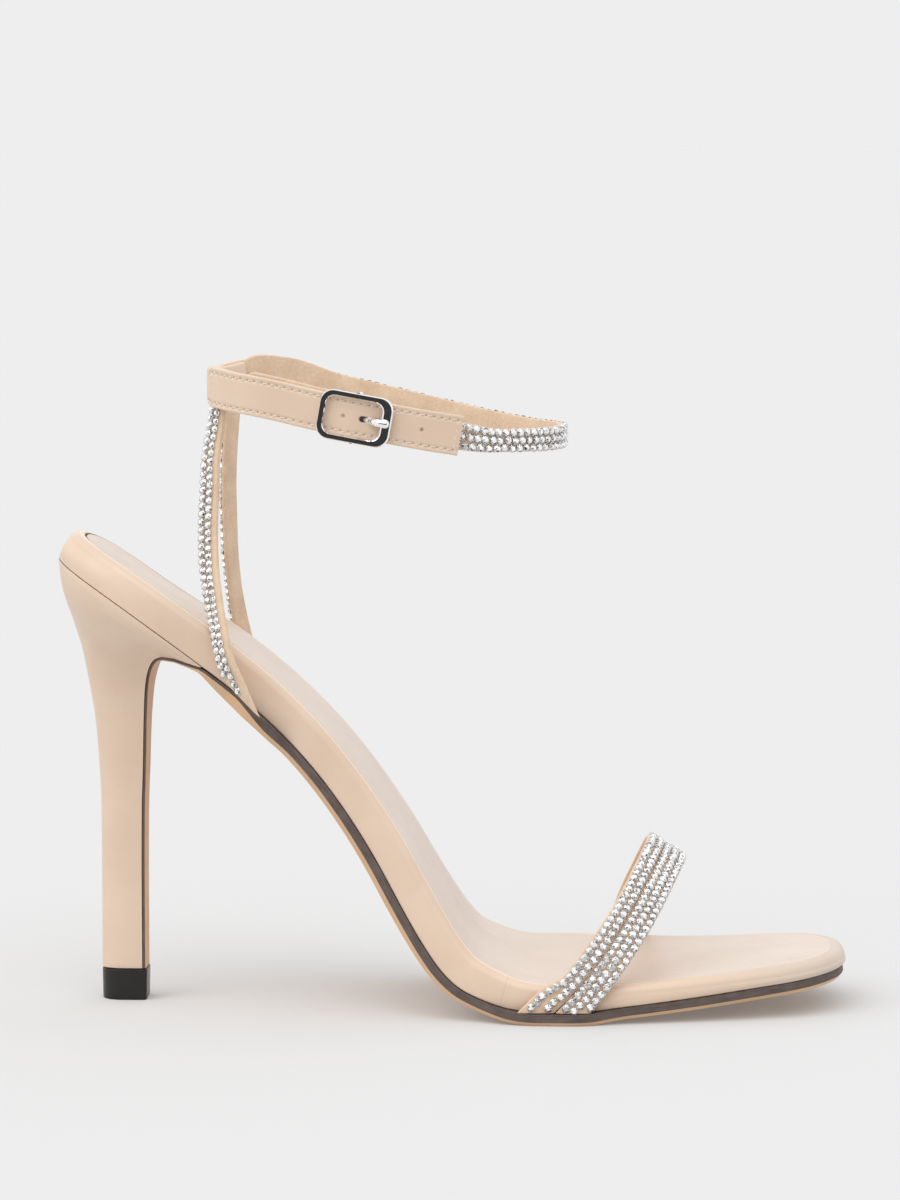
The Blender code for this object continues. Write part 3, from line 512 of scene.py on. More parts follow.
def wrapLook(name, colour, shade, sock, crestHighlight):
    # Leather as elsewhere. Along the rim a painted cream highlight lies on the crest, then the sock's
    # colour follows, and a dark hairline across the wall at one length is painted shade of the wrap's
    # overlap step. The toe is greyer, and the groove round the seat is darkened with painted shade
    look, tree, shader, paint = plainLeather(name, colour, shade)
    rim, along = attribute(tree, "rim"), attribute(tree, "along")

    def over(under, top, first, second):
        # The top colour over the one under it, by the product of two ranges
        return mixedColour(tree, maths(tree, "MULTIPLY", ranged(tree, *first), ranged(tree, *second)),
                           under, top)

    # Painted highlight: cream on the crest of the rounded edge, towards the seat
    paint = over(paint, crestHighlight, (rim, 0.1, 0.5, 0.0, 0.8), (along, 0.16, 0.19, 1.0, 0.0))
    paint = over(paint, sock, (rim, 0.35, 0.95), (along, 0.075, 0.19, 0.15, 1.0))
    # Painted shade: a dark hairline where the wrap's overlap steps, at one length across the wall
    seam = maths(tree, "ABSOLUTE", maths(tree, "SUBTRACT", along, footbed["seamPlace"]), 0.0)
    seamShade = ranged(tree, seam, 0.06 * mm, 0.22 * mm, 0.2, 0.0)
    paint = mixedColour(tree, seamShade, paint, darker(colour, 0.45))
    paint = mixedColour(tree, ranged(tree, along, 0.212, 0.25, 0.0, 0.9), paint, linear(203, 187, 172))
    # Painted shade: dark brown inside the groove round the seat
    paint = over(paint, linear(86, 52, 36), (rim, 0.88, 0.97), (along, 0.045, 0.07, 0.9, 0.0))
    setInputs(tree, shader, {"Base Color": paint})
    return look


def paintedLook(name, colour, worn, roughness=0.6):
    # Brushed edge paint over fibre: fine streaks along the edge, a little patchy, chipped at places
    look, tree, shader = newLook(name)
    across = addNode(tree, "CombineXYZ", {"X": maths(tree, "MULTIPLY", attribute(tree, "along"), 160.0),
                                          "Y": maths(tree, "MULTIPLY", attribute(tree, "up"), 2600.0)})
    streaks = noiseOf(tree, 1.0, 4.0, 0.65, across.outputs[0])
    both = maths(tree, "ADD", maths(tree, "MULTIPLY", streaks, 0.7),
                 maths(tree, "MULTIPLY", noiseOf(tree, 300.0), 0.3))
    setInputs(tree, shader, {
        "Base Color": mixedColour(tree, ranged(tree, both, 0.34, 0.66), colour, worn),
        "Normal": bumpOf(tree, streaks, 0.35, 0.1 * mm), "Roughness": roughness,
        "Specular IOR Level": 0.3})
    return look


def holeShadedLook(name, colour, shade):
    # Leather that turns dark brown where the attribute "hole" nears 1: painted shade inside the billet's
    # holes, slot and stitch pits
    look, tree, shader, leather = plainLeather(name, colour, shade)
    dark = ranged(tree, attribute(tree, "hole"), 0.35, 0.85)
    setInputs(tree, shader, {"Base Color": mixedColour(tree, dark, leather, linear(60, 50, 45))})
    return look


def metalLook(name, colour, roughness, wear=0.05):
    # Bare metal whose roughness grows by the wear where it is smudged
    look, tree, shader = newLook(name)
    smudges = ranged(tree, noiseOf(tree, 500.0), 0.3, 0.7, roughness, roughness + wear)
    setInputs(tree, shader, {"Base Color": colour, "Metallic": 1.0, "Roughness": smudges})
    return look


def glintPaintedCrystalLook(name):
    # Foiled glass: metallic and coated, so it mirrors the room, and each facet also gets its own
    # brightness from the attribute "facet", from near black to white: painted glints and dark facets
    # over the real reflection
    look, tree, shader = newLook(name)
    ramp = addNode(tree, "ValToRGB", {"Fac": attribute(tree, "facet")})
    ramp.color_ramp.elements[0].position = 0.08
    ramp.color_ramp.elements[0].color = (0.08, 0.075, 0.075, 1.0)
    ramp.color_ramp.elements[1].position = 1.0
    ramp.color_ramp.elements[1].color = (1.0, 1.0, 1.0, 1.0)
    for place, grey in ((0.2, 0.42), (0.34, 0.78)):
        ramp.color_ramp.elements.new(place).color = (grey, grey * 0.985, grey * 0.98, 1.0)
    setInputs(tree, shader, {"Base Color": ramp.outputs["Color"], "Metallic": 0.55, "Roughness": 0.08,
                             "Coat Weight": 1.0, "Coat Roughness": 0.02, "IOR": 1.6})
    return look


def threadLook(name, colour):
    # Twisted yarn: a wave darkens it and shapes its bump
    look, tree, shader = newLook(name)
    where = addNode(tree, "TexCoord").outputs["Object"]
    wave = addNode(tree, "TexWave", {"Vector": where, "Scale": 1600.0, "Distortion": 1.0})
    twist = wave.outputs["Fac"]
    setInputs(tree, shader, {"Base Color": mixedColour(tree, twist, colour, darker(colour, 0.8)),
                             "Normal": bumpOf(tree, twist, 0.4, 0.08 * mm), "Roughness": 0.7})
    return look


footbed = {
    "edgeRadius": 2.4 * mm, "rimWidth": 0.8 * mm, "sockThick": 0.8 * mm, "wallHollow": 0.2 * mm,
    "seatBulge": 0.9 * mm, "bulgeLength": 20 * mm, "lowerRadius": 0.4 * mm,
    "grooveEnd": 62 * mm, "grooveFade": 34 * mm, "seamPlace": 164 * mm,
}
looks = {
    "nude": leatherLook("nudeLeather", linear(222, 198, 176), linear(217, 191, 168)),
    "holeShaded": holeShadedLook("holeShadedLeather", linear(222, 198, 176), linear(217, 191, 168)),
    "wrap": wrapLook("wrappedLeather", linear(222, 198, 176), linear(216, 190, 167),
                     linear(219, 203, 190), linear(240, 224, 206)),
    "sock": leatherLook("sockLeather", linear(219, 203, 190), linear(213, 196, 183), 0.45, 0.06, 0.1),
    "sole": leatherLook("soleLeather", linear(217, 180, 142), linear(206, 167, 129), 0.55, 0.2, 0.0),
    "painted": paintedLook("paintedEdge", linear(74, 63, 61), linear(108, 95, 88)),
    "suede": suedeLook("microsuede", linear(226, 201, 174), linear(206, 178, 150)),
    "tip": paintedLook("tipRubber", linear(28, 27, 27), linear(40, 39, 38), 0.3),
    "chrome": metalLook("chrome", (0.93, 0.93, 0.94, 1.0), 0.03),
    "cups": metalLook("silverCups", (0.76, 0.75, 0.75, 1.0), 0.18, 0.1),
    "crystal": glintPaintedCrystalLook("crystal"),
    "thread": threadLook("creamThread", linear(240, 228, 210)),
}
print("materials ready")


# Footbed: rings inset from the outline, each at its own height

def makeFootbed():
    # A quarter circle below, the wall with its bulge at the seat, a quarter circle above, and the
    # rim's flat top with a drop down to the sock. Each step has a distance, a height and a rim mark
    along = stations(0)
    loop = outline(along, *halfWidths(along))
    thick = thicknessAt(loop[:, 0], loop[:, 1])
    radius, low = footbed["edgeRadius"], footbed["lowerRadius"]
    seat = ease(1 - loop[:, 0] / footbed["bulgeLength"])
    steps = []
    for turn in np.radians(np.linspace(0, 90, 5)):
        steps.append((low * (1 - math.sin(turn)), low * (1 - math.cos(turn)) + 0 * thick, 0.0))
    for share in np.linspace(0.08, 1, 12)[:-1]:
        hollow = footbed["wallHollow"] * math.sin(math.pi * share)
        bulge = footbed["seatBulge"] * math.sin(math.pi * share) * seat
        steps.append((-hollow - bulge, low + (thick - radius - low) * share, 0.0))
    for turn in np.radians(np.linspace(0, 90, 11)):
        rim = 0.6 * ease((turn - 0.9) / 0.67)
        steps.append((radius * (1 - math.cos(turn)), thick - radius + radius * math.sin(turn), rim))
    inner = radius + footbed["rimWidth"]
    steps.append((radius + 0.25 * mm, thick - 0.03 * mm, 0.75))
    steps.append((inner - 0.3 * mm, thick - 0.05 * mm, 0.9))
    for turn in np.radians(np.linspace(30, 90, 3)):
        steps.append((inner - 0.2 * mm + 0.2 * mm * math.sin(turn),
                      thick - 0.05 * mm - 0.2 * mm * (1 - math.cos(turn)), 1.0))
    steps.append((inner, thick - footbed["sockThick"] - gap, 1.0))
    rings = layered(last, loop, [step[:2] for step in steps])
    # The rim mark tells the wrap's look where the painted crest highlight, the sock's colour and the
    # seat groove's painted shade go
    marks = {"rim": np.repeat([step[2] for step in steps], len(loop)),
             "along": np.tile(loop[:, 0], len(steps))}
    piece = newPiece("footbedWrap", rings, shellFaces(*rings.shape[:2], True), [looks["wrap"]],
                     marks=marks)
    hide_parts("footbed")


def makeSock():
    # A sheet inside the rim: its edge from below, a quarter circle, and the top a little further in
    along = stations(0)
    loop = outline(along, *halfWidths(along))
    thick = thicknessAt(loop[:, 0], loop[:, 1])
    # The groove round the seat closes towards the arch, where the sock lies over the rim
    shut = ease((loop[:, 0] - footbed["grooveEnd"]) / footbed["grooveFade"] + 1)
    edge = footbed["edgeRadius"] + footbed["rimWidth"] + gap * (1.5 - 1.8 * shut)
    steps = [(edge, thick - footbed["sockThick"])]
    for turn in np.radians(np.linspace(0, 90, 6)):
        steps.append((edge + 0.35 * mm * (1 - math.cos(turn)),
                      thick - 0.25 * mm * (1 - math.sin(turn)) * (1 - 0.5 * shut) + 0.07 * mm * shut))
    steps.append((edge + 2.5 * mm, thick + 0.07 * mm))
    rings = layered(last, loop, steps)
    piece = newPiece("sock", rings, shellFaces(*rings.shape[:2], True), [looks["sock"]])
    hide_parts("insole_sock")


# Heel and tip

# Heel sections from the tip, 0, up to the seat, 1
heelShape = table("up backX backZ frontX frontZ wide", (
    (0.00, 0.000, 0.000, 0.000, 0.000, 0.000), (0.18, 0.000, 0.200, 0.000, 0.270, 0.005),
    (0.34, 0.007, 0.405, 0.010, 0.520, 0.015), (0.44, 0.050, 0.503, 0.030, 0.645, 0.030),
    (0.52, 0.140, 0.611, 0.045, 0.760, 0.060), (0.59, 0.240, 0.674, 0.060, 0.835, 0.110),
    (0.65, 0.340, 0.729, 0.085, 0.905, 0.190), (0.71, 0.444, 0.780, 0.125, 0.952, 0.305),
    (0.77, 0.565, 0.822, 0.190, 0.990, 0.445), (0.82, 0.685, 0.860, 0.285, 1.015, 0.575),
    (0.87, 0.830, 0.902, 0.420, 1.025, 0.715), (0.92, 0.920, 0.934, 0.570, 1.024, 0.835),
    (0.96, 0.970, 0.967, 0.760, 1.014, 0.930), (1.00, 1.000, 1.000, 1.000, 1.000, 1.000)))

heel = {
    "tipDepth": 12.1 * mm, "tipWidth": 10.6 * mm, "tipHeight": 8.0 * mm,
    "tipCorner": 0.9 * mm, "stemDepth": 10.8 * mm, "stemWidth": 8.8 * mm,
}


def heelFan(count):
    # Back edge, front edge and half width of each heel section, from the tip to the seat
    seatBack = last.place(0.0, 0.0, -gap)
    seatFront = last.place(shoe["heelSeat"], 0.0, -gap)
    lateral, medial = halfWidths(np.array([shoe["heelSeat"]]))
    foot = heel["tipHeight"] + gap
    backX = -heel["tipDepth"] / 2
    ends = {"backX": (backX, seatBack[0]), "backZ": (foot, seatBack[2]),
            "frontX": (backX + heel["stemDepth"], seatFront[0]), "frontZ": (foot, seatFront[2]),
            "wide": (heel["stemWidth"] / 2, (lateral[0] + medial[0]) / 2)}
    at = np.linspace(0, 1, count) ** 0.8
    return {key: low + (high - low) * smoothCurve(heelShape["up"], heelShape[key], at)
            for key, (low, high) in ends.items()}


def makeHeel():
    # A section is the seat's own outline, squeezed between the heel's back and front edges
    along = np.concatenate((shoe["seatRound"] * (1 - np.cos(np.linspace(0, math.pi / 2, 30))),
                            np.linspace(shoe["seatRound"], shoe["heelSeat"], 14)[1:]))
    lateral, medial = halfWidths(along)
    share = np.concatenate((along, along[:0:-1])) / shoe["heelSeat"]
    side = np.concatenate((-lateral, medial[:0:-1]))
    fan = heelFan(150)
    wide = side / fan["wide"][-1]
    x = fan["backX"][:, None] + (fan["frontX"] - fan["backX"])[:, None] * share
    z = fan["backZ"][:, None] + (fan["frontZ"] - fan["backZ"])[:, None] * share
    rings = np.stack([x, wide * fan["wide"][:, None], z], axis=-1)
    rings[-1] = last.place(share * shoe["heelSeat"], side, -0.12 * mm)
    piece = cappedTube("heelWrap", rings, [looks["nude"]])
    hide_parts("heel")


def makeHeelTip():
    # A half circle behind and two rounded corners in front, as rings that swell and close again
    turn = np.linspace(-math.pi / 2, math.pi / 2, 33)
    nose = heel["tipWidth"] / 2
    depth = heel["tipDepth"] / 2
    back = np.stack([-depth + nose * (1 - np.cos(turn)), nose * np.sin(turn)], axis=1)
    turn = np.linspace(math.pi / 2, 0, 7)
    corner = np.stack([np.cos(turn), np.sin(turn)], axis=1) - 1
    corner = np.array([depth, nose]) + heel["tipCorner"] * corner
    loop = np.concatenate((back, corner, corner[::-1] * (1, -1)))
    rings = []
    high = heel["tipHeight"]
    for grow, height in ((0.92, 0.0), (0.96, 0.0), (0.975, 0.2 * mm), (0.98, 0.5 * mm),
                         (1.0, high - 0.6 * mm), (1.0, high - 0.25 * mm), (0.98, high)):
        rings.append(np.concatenate((loop * grow, np.full((len(loop), 1), height)), axis=1))
    piece = cappedTube("heelTip", np.array(rings), [looks["tip"]])
    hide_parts("heel_tip")


# Outsole: from the toe back under the waist and down the breast of the heel

outsole = {
    "waistBevel": 1.3 * mm, "overhang": 0.3 * mm, "toeSetback": 0.9 * mm, "landingReach": 3.0 * mm,
    "flap": 0.9 * mm, "flapEnd": 12 * mm, "flapFade": 20 * mm, "waistEnd": 165 * mm,
    "waistFade": 45 * mm, "thinEdge": 0.6 * mm, "thinEnd": 22 * mm, "thinFade": 12 * mm,
    "toeLift": 0.18 * mm, "heelTurn": 1.5 * mm,
}

# The sole is wider where a strap goes in, so the straps' sizes stand here
vamp = {
    "height": 39.4 * mm, "middleX": 141.0 * mm, "rearWidth": 4.5 * mm, "frontWidth": 6.6 * mm,
    "edgeThick": 1.0 * mm, "crown": 0.25 * mm, "lateralEnd": 0.698 * 254 * mm,
    "medialEnd": 0.776 * 254 * mm, "leanLateral": 40.0, "leanTurn": -13.0, "footFlare": 2.0 * mm,
    "flareLength": 9 * mm, "below": 7 * mm, "rearShift": 0.25 * mm, "rowShift": 0.1 * mm,
}

quarter = {
    "width": 5.6 * mm, "thick": 1.3 * mm, "standOff": 1.9 * mm, "footWiden": 1.6 * mm,
    "lateralEnd": 0.275 * 254 * mm, "medialEnd": 0.270 * 254 * mm,
    "lateralTurn": 19.0, "medialTurn": -25.0,
}

landings = ((-1, vamp["lateralEnd"], 15.5 * mm), (1, vamp["medialEnd"], 15.5 * mm),
            (-1, quarter["lateralEnd"] - 2 * mm, 8.5 * mm), (1, quarter["medialEnd"] - 2 * mm, 8.5 * mm))


def landingReach(along, side):
    # A flat-topped bump round each landing: e to the minus fourth power of the distance
    reach = np.zeros_like(along)
    for rowSide, middle, halfLength in landings:
        if rowSide == side:
            reach = reach + outsole["landingReach"] * np.exp(-1.2 * ((along - middle) / halfLength) ** 4)
    return reach


def makeOutsole():
    # The line runs down the breast of the heel's front edge and on under the footbed. Below it lie
    # the painted edge and a bevel. Both thin out to the flap on the breast, and the paint ends
    # sooner under the waist, where the bevel takes its height
    fan = heelFan(150)
    front = np.stack([fan["frontX"], fan["frontZ"]], axis=1)[:-1]
    rest = stations(shoe["heelSeat"] + outsole["heelTurn"])
    line = np.concatenate((front, last.place(rest, 0.0, -gap)[:, [0, 2]]))
    edge = unit(np.diff(line, axis=0))
    edge = unit(np.concatenate((edge[:1], edge[:-1] + edge[1:], edge[-1:])))
    away = np.stack([-edge[:, 1], edge[:, 0]], axis=1)
    line[:len(front)] -= away[:len(front)] * 0.6 * gap
    sideLine = SideLine(line[:, 0], line[:, 1])
    wide = fan["wide"][:-1]
    lateral, medial = (
        np.concatenate((wide, half + (outsole["overhang"] + landingReach(rest, side)) * (half > 0)))
        for side, half in zip((-1, 1), halfWidths(rest)))
    along = sideLine.along
    loop = outline(along, lateral, medial)
    joint = along[len(front)]

    def behind(place, fade):
        # 1 behind the place, counted from the joint with the heel, eased over the fade
        return ease((joint + place - loop[:, 0]) / fade)

    flap = behind(outsole["flapEnd"], outsole["flapFade"])
    waist = behind(outsole["waistEnd"] - shoe["heelSeat"], outsole["waistFade"])
    thin = behind(outsole["thinEnd"], outsole["thinFade"])
    bevel = shoe["soleBevel"] + (outsole["waistBevel"] - shoe["soleBevel"]) * waist
    bevelIn = bevel + (outsole["flap"] / 3 - bevel) * flap
    fullEdge = shoe["soleEdge"] + (outsole["flap"] * 2 / 3 - shoe["soleEdge"]) * flap
    edgeDeep = fullEdge + (np.minimum(outsole["thinEdge"], fullEdge) - fullEdge) * thin
    bevelDeep = bevelIn + (fullEdge - edgeDeep)
    toe = np.clip(1 - (along[-1] - loop[:, 0]) / (1.5 * shoe["toeRound"]), 0, 1) * outsole["toeSetback"]
    lift = outsole["toeLift"] * ease((loop[:, 0] - joint - 2 * mm) / (4 * mm))
    steps = [(toe + 0.15 * mm, lift)]
    for share in (0.0, 0.33, 0.66, 1.0):
        steps.append((toe, lift * (1 - share) - edgeDeep * share))
    for share in (0.3, 0.65, 1.0):
        steps.append((toe + bevelIn * share, -edgeDeep - bevelDeep * share))
    places = layered(sideLine, loop, steps, holdEnds=True)
    places[..., 2] = np.maximum(places[..., 2], 0.0)
    marks = {"along": np.tile(loop[:, 0], len(steps)),
             "up": np.concatenate([np.broadcast_to(height, len(loop)) for _, height in steps])}
    rows, count = places.shape[:2]
    quads, ends = shellFaces(rows, count, False)
    walls = (rows - 1) * count
    lookOf = np.zeros(len(quads) + len(ends), dtype=int)
    lookOf[4 * count:walls] = 1                # bevel
    lookOf[(walls + len(quads)) // 2:] = 1     # underside
    piece = newPiece("soleLeather", places, [quads, ends], [looks["painted"], looks["sole"]],
                     lookOf=lookOf, marks=marks)
    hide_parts("outsole")


makeFootbed()
makeSock()
makeHeel()
makeHeelTip()
makeOutsole()
print("sole and heel ready")


# Crystals: one stone and its cup, repeated over a strap with its own turn for each copy

stones = {"radius": 1.0 * mm, "rowSpacing": 2.2 * mm, "pitch": 2.05 * mm, "rise": 0.3 * mm}


def stonePattern():
    # Eight-sided stone: table, sixteen crown facets and girdle, in a cup with four claws
    turn = np.radians(np.arange(8) * 45.0)

    def ring(radius, height, shift=0.0):
        # Eight points round the stone's axis
        return np.stack([radius * np.cos(turn + shift), radius * np.sin(turn + shift),
                         np.full(8, height)], axis=1)

    half = math.radians(22.5)
    points = [ring(0.50, 0.66), ring(0.93, 0.28, half), ring(0.93, 0.0, half),
              ring(0.95, 0.32, half), ring(1.10, 0.20, half), ring(1.10, -0.45, half)]
    i = np.arange(8)
    j = (i + 1) % 8
    crownA = np.stack([i, 8 + i, j], axis=1)
    crownB = np.stack([8 + i, 8 + j, j], axis=1)
    girdle = np.stack([8 + i, 16 + i, 16 + j, 8 + j], axis=1)
    lip = np.stack([24 + i, 32 + i, 32 + j, 24 + j], axis=1)
    wall = np.stack([32 + i, 40 + i, 40 + j, 32 + j], axis=1)
    claws, clawFaces = [], []
    for k in range(4):
        angle = math.radians(45 + 90 * k)
        out = np.array([math.cos(angle), math.sin(angle)])
        side = np.array([-out[1], out[0]])
        first = 48 + 6 * k
        for radius, height, wide in ((1.14, 0.10, 0.17), (0.98, 0.44, 0.15), (0.76, 0.54, 0.08)):
            for sign in (-1, 1):
                claws.append([*(out * radius + side * wide * sign), height])
        clawFaces += [[first + k for k in (0, 1, 3, 2)], [first + k for k in (2, 3, 5, 4)]]
    points = np.concatenate(points + [np.array(claws)])
    triangles = np.concatenate((crownA, crownB))
    quads = np.concatenate((girdle, lip, wall, np.array(clawFaces)))
    return points, np.arange(8)[None, :], triangles, quads


def makeStones(name, spots):
    # Every copy's corner: its place plus the pattern's x, y and z along the copy's own directions
    points, tableFace, triangles, quads = stonePattern()
    count = len(spots["place"])
    spin = randomSource.uniform(-0.35, 0.35, count)
    tilt = randomSource.normal(0, 0.05, (count, 2))
    normal = unit(spots["normal"] + tilt[:, :1] * spots["tangent"] + tilt[:, 1:] * spots["side"])
    first = squareTo(spots["tangent"], normal)
    second = np.cross(normal, first)
    c, s = np.cos(spin)[:, None], np.sin(spin)[:, None]
    first, second = c * first + s * second, c * second - s * first
    size = stones["radius"] * randomSource.uniform(0.95, 1.04, count)
    local = points[None] * size[:, None, None]
    corners = (spots["place"][:, None] + local[..., :1] * first[:, None]
               + local[..., 1:2] * second[:, None] + local[..., 2:] * normal[:, None])
    shift = (np.arange(count) * len(points))[:, None, None]
    faces = [(f[None] + shift).reshape(-1, f.shape[1]) for f in (triangles, quads, tableFace)]
    cups = np.tile(np.repeat([0, 1], [8, len(quads) - 8]), count)   # the first eight are the girdle
    lookOf = np.concatenate([np.zeros(len(faces[0])), cups, np.zeros(count)])
    # Random brightness for every face, kept in the attribute "facet": the crystal look paints it as
    # glints and dark facets, and the stones' tables get the lighter end
    paintedGlint = randomSource.beta(0.9, 0.9, len(lookOf))
    paintedGlint[-count:] = randomSource.uniform(0.55, 1.0, count)
    mesh = newPiece(name, corners, faces, [looks["crystal"], looks["cups"]], sharp=None,
                    lookOf=lookOf, faceMarks={"facet": paintedGlint})
    mesh.data.shade_flat()


def stoneRows(path, start, end, rows, height, slope=0.0, planes=()):
    # Places in straight rows along a strap, each row with its own start; none lies below a plane
    rowPlaces = []
    for k, offset in enumerate(rows):
        count = int((end - start) / stones["pitch"])
        lengths = start + (np.arange(count) + (0.3, 0.75, 0.45)[k % 3]) * (end - start) / count
        lengths = lengths + randomSource.normal(0, 0.05 * mm, count)
        spot = atLengths(path, lengths)
        lean = slope * offset
        normal = unit(spot["outward"] + lean * spot["across"])
        drop = height - 0.5 * slope * offset * offset
        wobble = randomSource.normal(0, 0.05 * mm, count)[:, None]
        rowPlaces.append({
            "place": spot["centre"] + (offset + wobble) * spot["across"] + drop * spot["outward"],
            "normal": normal, "tangent": spot["tangent"], "side": spot["across"],
            "row": np.full(count, k), "length": lengths})
    return keptAbove(joined(rowPlaces), planes)


def joined(groups):
    # The groups' arrays under each key, one after the other
    return {key: np.concatenate([group[key] for group in groups]) for key in groups[0]}


def keptAbove(places, planes):
    # A stone is kept if its middle lies more than half a millimetre above every plane
    kept = np.ones(len(places["place"]), dtype=bool)
    for origin, normal in planes:
        kept &= (places["place"] - origin) @ normal > 0.5 * mm
    return {key: value[kept] for key, value in places.items()}


# Vamp bands

# Line between the two vamp bands, as shares of the half span, the height and the sweep
vampShape = table("across rise behind", (
    (-1.000, 0.000, 0.93), (-1.000, 0.115, 0.79), (-0.975, 0.320, 0.58), (-0.800, 0.617, 0.315),
    (-0.475, 0.868, 0.115), (-0.080, 1.000, 0.00), (0.320, 0.950, 0.01), (0.670, 0.750, 0.10),
    (0.890, 0.490, 0.23), (0.990, 0.220, 0.34), (1.000, 0.000, 0.40)))


def vampPath(count=260):
    # vampShape times half span, height and sweep, run on below the footbed at both ends. The
    # strap's width points ahead and down by the lean, which turns evenly from end to end
    lateral = halfWidths(np.array([vamp["lateralEnd"]]))[0][0]
    medial = halfWidths(np.array([vamp["medialEnd"]]))[1][0]
    landingX, _, landingZ = last.place(vamp["lateralEnd"], 0.0, 0.0)
    span = np.where(vampShape["across"] < 0, lateral, medial) + gap + 0.7 * mm
    points = np.stack([
        vamp["middleX"] - (vamp["middleX"] - landingX) * vampShape["behind"],
        span * vampShape["across"],
        landingZ + (vamp["height"] - landingZ) * vampShape["rise"]], axis=1)
    points = np.concatenate((points[:1] + unit(points[0] - points[1]) * vamp["below"], points,
                             points[-1:] + unit(points[-1] - points[-2]) * vamp["below"]))
    centre = throughPoints(points, count)
    tangent = unit(np.gradient(centre, axis=0))
    lean = np.radians(vamp["leanLateral"] + vamp["leanTurn"] * np.linspace(0, 1, count)[:, None])
    guide = np.concatenate((np.cos(lean), 0 * lean, -np.sin(lean)), axis=1)
    across = squareTo(guide, tangent)
    return makePath(centre, across, np.cross(across, tangent))


def makeVampBand(name, node, offset, width, rows):
    # The band's own line lies the offset beside the shared one. The rear band's outer edge moves
    # out by the flare, which eases off above the foot
    path = vampPath()
    thick = vamp["edgeThick"]
    moved = makePath(path["centre"] + offset * path["across"] + thick / 2 * path["outward"],
                     path["across"], path["outward"])
    profile = strapProfile(width, thick, vamp["crown"], 0.4 * mm)
    profile = np.repeat(profile[None], len(moved["length"]), axis=0)
    foot = vamp["below"]              # the path starts this far below the footbed's underside
    flared = vamp["footFlare"] * (1 - ease((moved["length"] - foot) / vamp["flareLength"]))[:, None]
    if offset < 0:
        profile[:, :, 0] -= flared * np.clip(-profile[:, :, 0] / width + 0.5, 0, 1)
        profile[:, :, 0] += vamp["rearShift"] * np.clip(profile[:, :, 0] / width + 0.5, 0, 1)
    rings = carried(moved, profile)
    rings = trimmed(rings, moved["tangent"], *solePlane(vamp["lateralEnd"]), True)
    cut = len(moved["tangent"]) - len(rings) + 1
    rings = trimmed(rings, np.concatenate((moved["tangent"][:1], moved["tangent"][cut:]))[:len(rings)],
                    *solePlane(vamp["medialEnd"]), False)
    piece = cappedTube(name, rings, [looks["suede"]])
    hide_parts(node)
    planes = solePlane(vamp["lateralEnd"]), solePlane(vamp["medialEnd"])
    spots = stoneRows(moved, 0.5 * mm, moved["length"][-1] - 0.5 * mm, rows,
                      thick / 2 + vamp["crown"] + stones["rise"], 2 * vamp["crown"] / (width / 2) ** 2)
    if offset < 0:
        # The rear row follows the flared edge down to the sole
        above = (spots["place"] - moved["centre"][0]) @ moved["tangent"][0]
        share = (1 - ease((above - foot) / vamp["flareLength"])) * (spots["place"][:, 1] < 0)
        reach = np.array([0.85, 0.35])[spots["row"]]
        spots["place"] -= (vamp["footFlare"] * share * reach)[:, None] * spots["side"]
    makeStones(name + "Stones", keptAbove(spots, planes))


# The two bands and their gap lie evenly about the shared line
half = (vamp["rearWidth"] + gap + vamp["frontWidth"]) / 2
spacing = stones["rowSpacing"]
makeVampBand("vampBandRear", "vamp_band_rear", vamp["rearWidth"] / 2 - half, vamp["rearWidth"],
             (vamp["rowShift"] - spacing / 2, vamp["rowShift"] + spacing / 2))
makeVampBand("vampBandFront", "vamp_band_front", half - vamp["frontWidth"] / 2, vamp["frontWidth"],
             (-spacing, 0.0, spacing))
print("vamp bands ready")


# Ankle strap: turns round an ellipse, at the heights of ankleShape

# Height of the ankle strap round its loop, as shares of its drop; turns in degrees from the back
ankleShape = table("turn rise", (
    (0, 0.88), (20, 0.83), (35, 0.76), (50, 0.67), (70, 0.48), (90, 0.30), (110, 0.12),
    (130, -0.02), (150, -0.03), (180, 0.00), (210, 0.02), (230, 0.11), (250, 0.29),
    (270, 0.52), (290, 0.755), (310, 0.94), (325, 1.00), (340, 0.95), (360, 0.88)))

ankle = {
    "length": 90.0 * mm, "width": 51.0 * mm, "backX": 24.0 * mm, "frontHeight": 148.0 * mm,
    "drop": 15.5 * mm, "strapWidth": 7.3 * mm, "strapThick": 1.5 * mm,
    "plainWidth": 6.0 * mm, "plainThick": 1.2 * mm, "sleeveHeight": 9.2 * mm,
    "rowSpacing": 2.5 * mm, "frontNarrow": 0.2, "narrowFrom": (112, 22), "narrowTo": (305, 20),
    "mouthRise": 1.0 * mm, "mouthFrom": (285, 25), "mouthTo": (333, 18),
    "foldRise": 2.7 * mm, "foldFrom": (394, 7), "foldTo": (438, 4), "plainFrom": (322, 7),
    "stonesTo": 327.0, "sleeveWall": 1.0 * mm, "sleeveDrop": 0.3 * mm, "sleeveFall": 1.5 * mm,
    "sleeveTurns": (-30.0, 32.0), "endTurn": 106.0, "buckleTurn": 81.4,
}

# The ankle strap folds round the buckle's centre bar
buckle = {
    "length": 19.0 * mm, "height": 12.7 * mm, "barLeft": 1.6 * mm, "barRight": 2.6 * mm,
    "barTop": 1.45 * mm, "thick": 1.3 * mm, "stand": 3.95 * mm, "corner": 3.4 * mm,
    "barRadius": 0.65 * mm, "prongRadius": 0.9 * mm, "fold": 0.5 * mm,
}


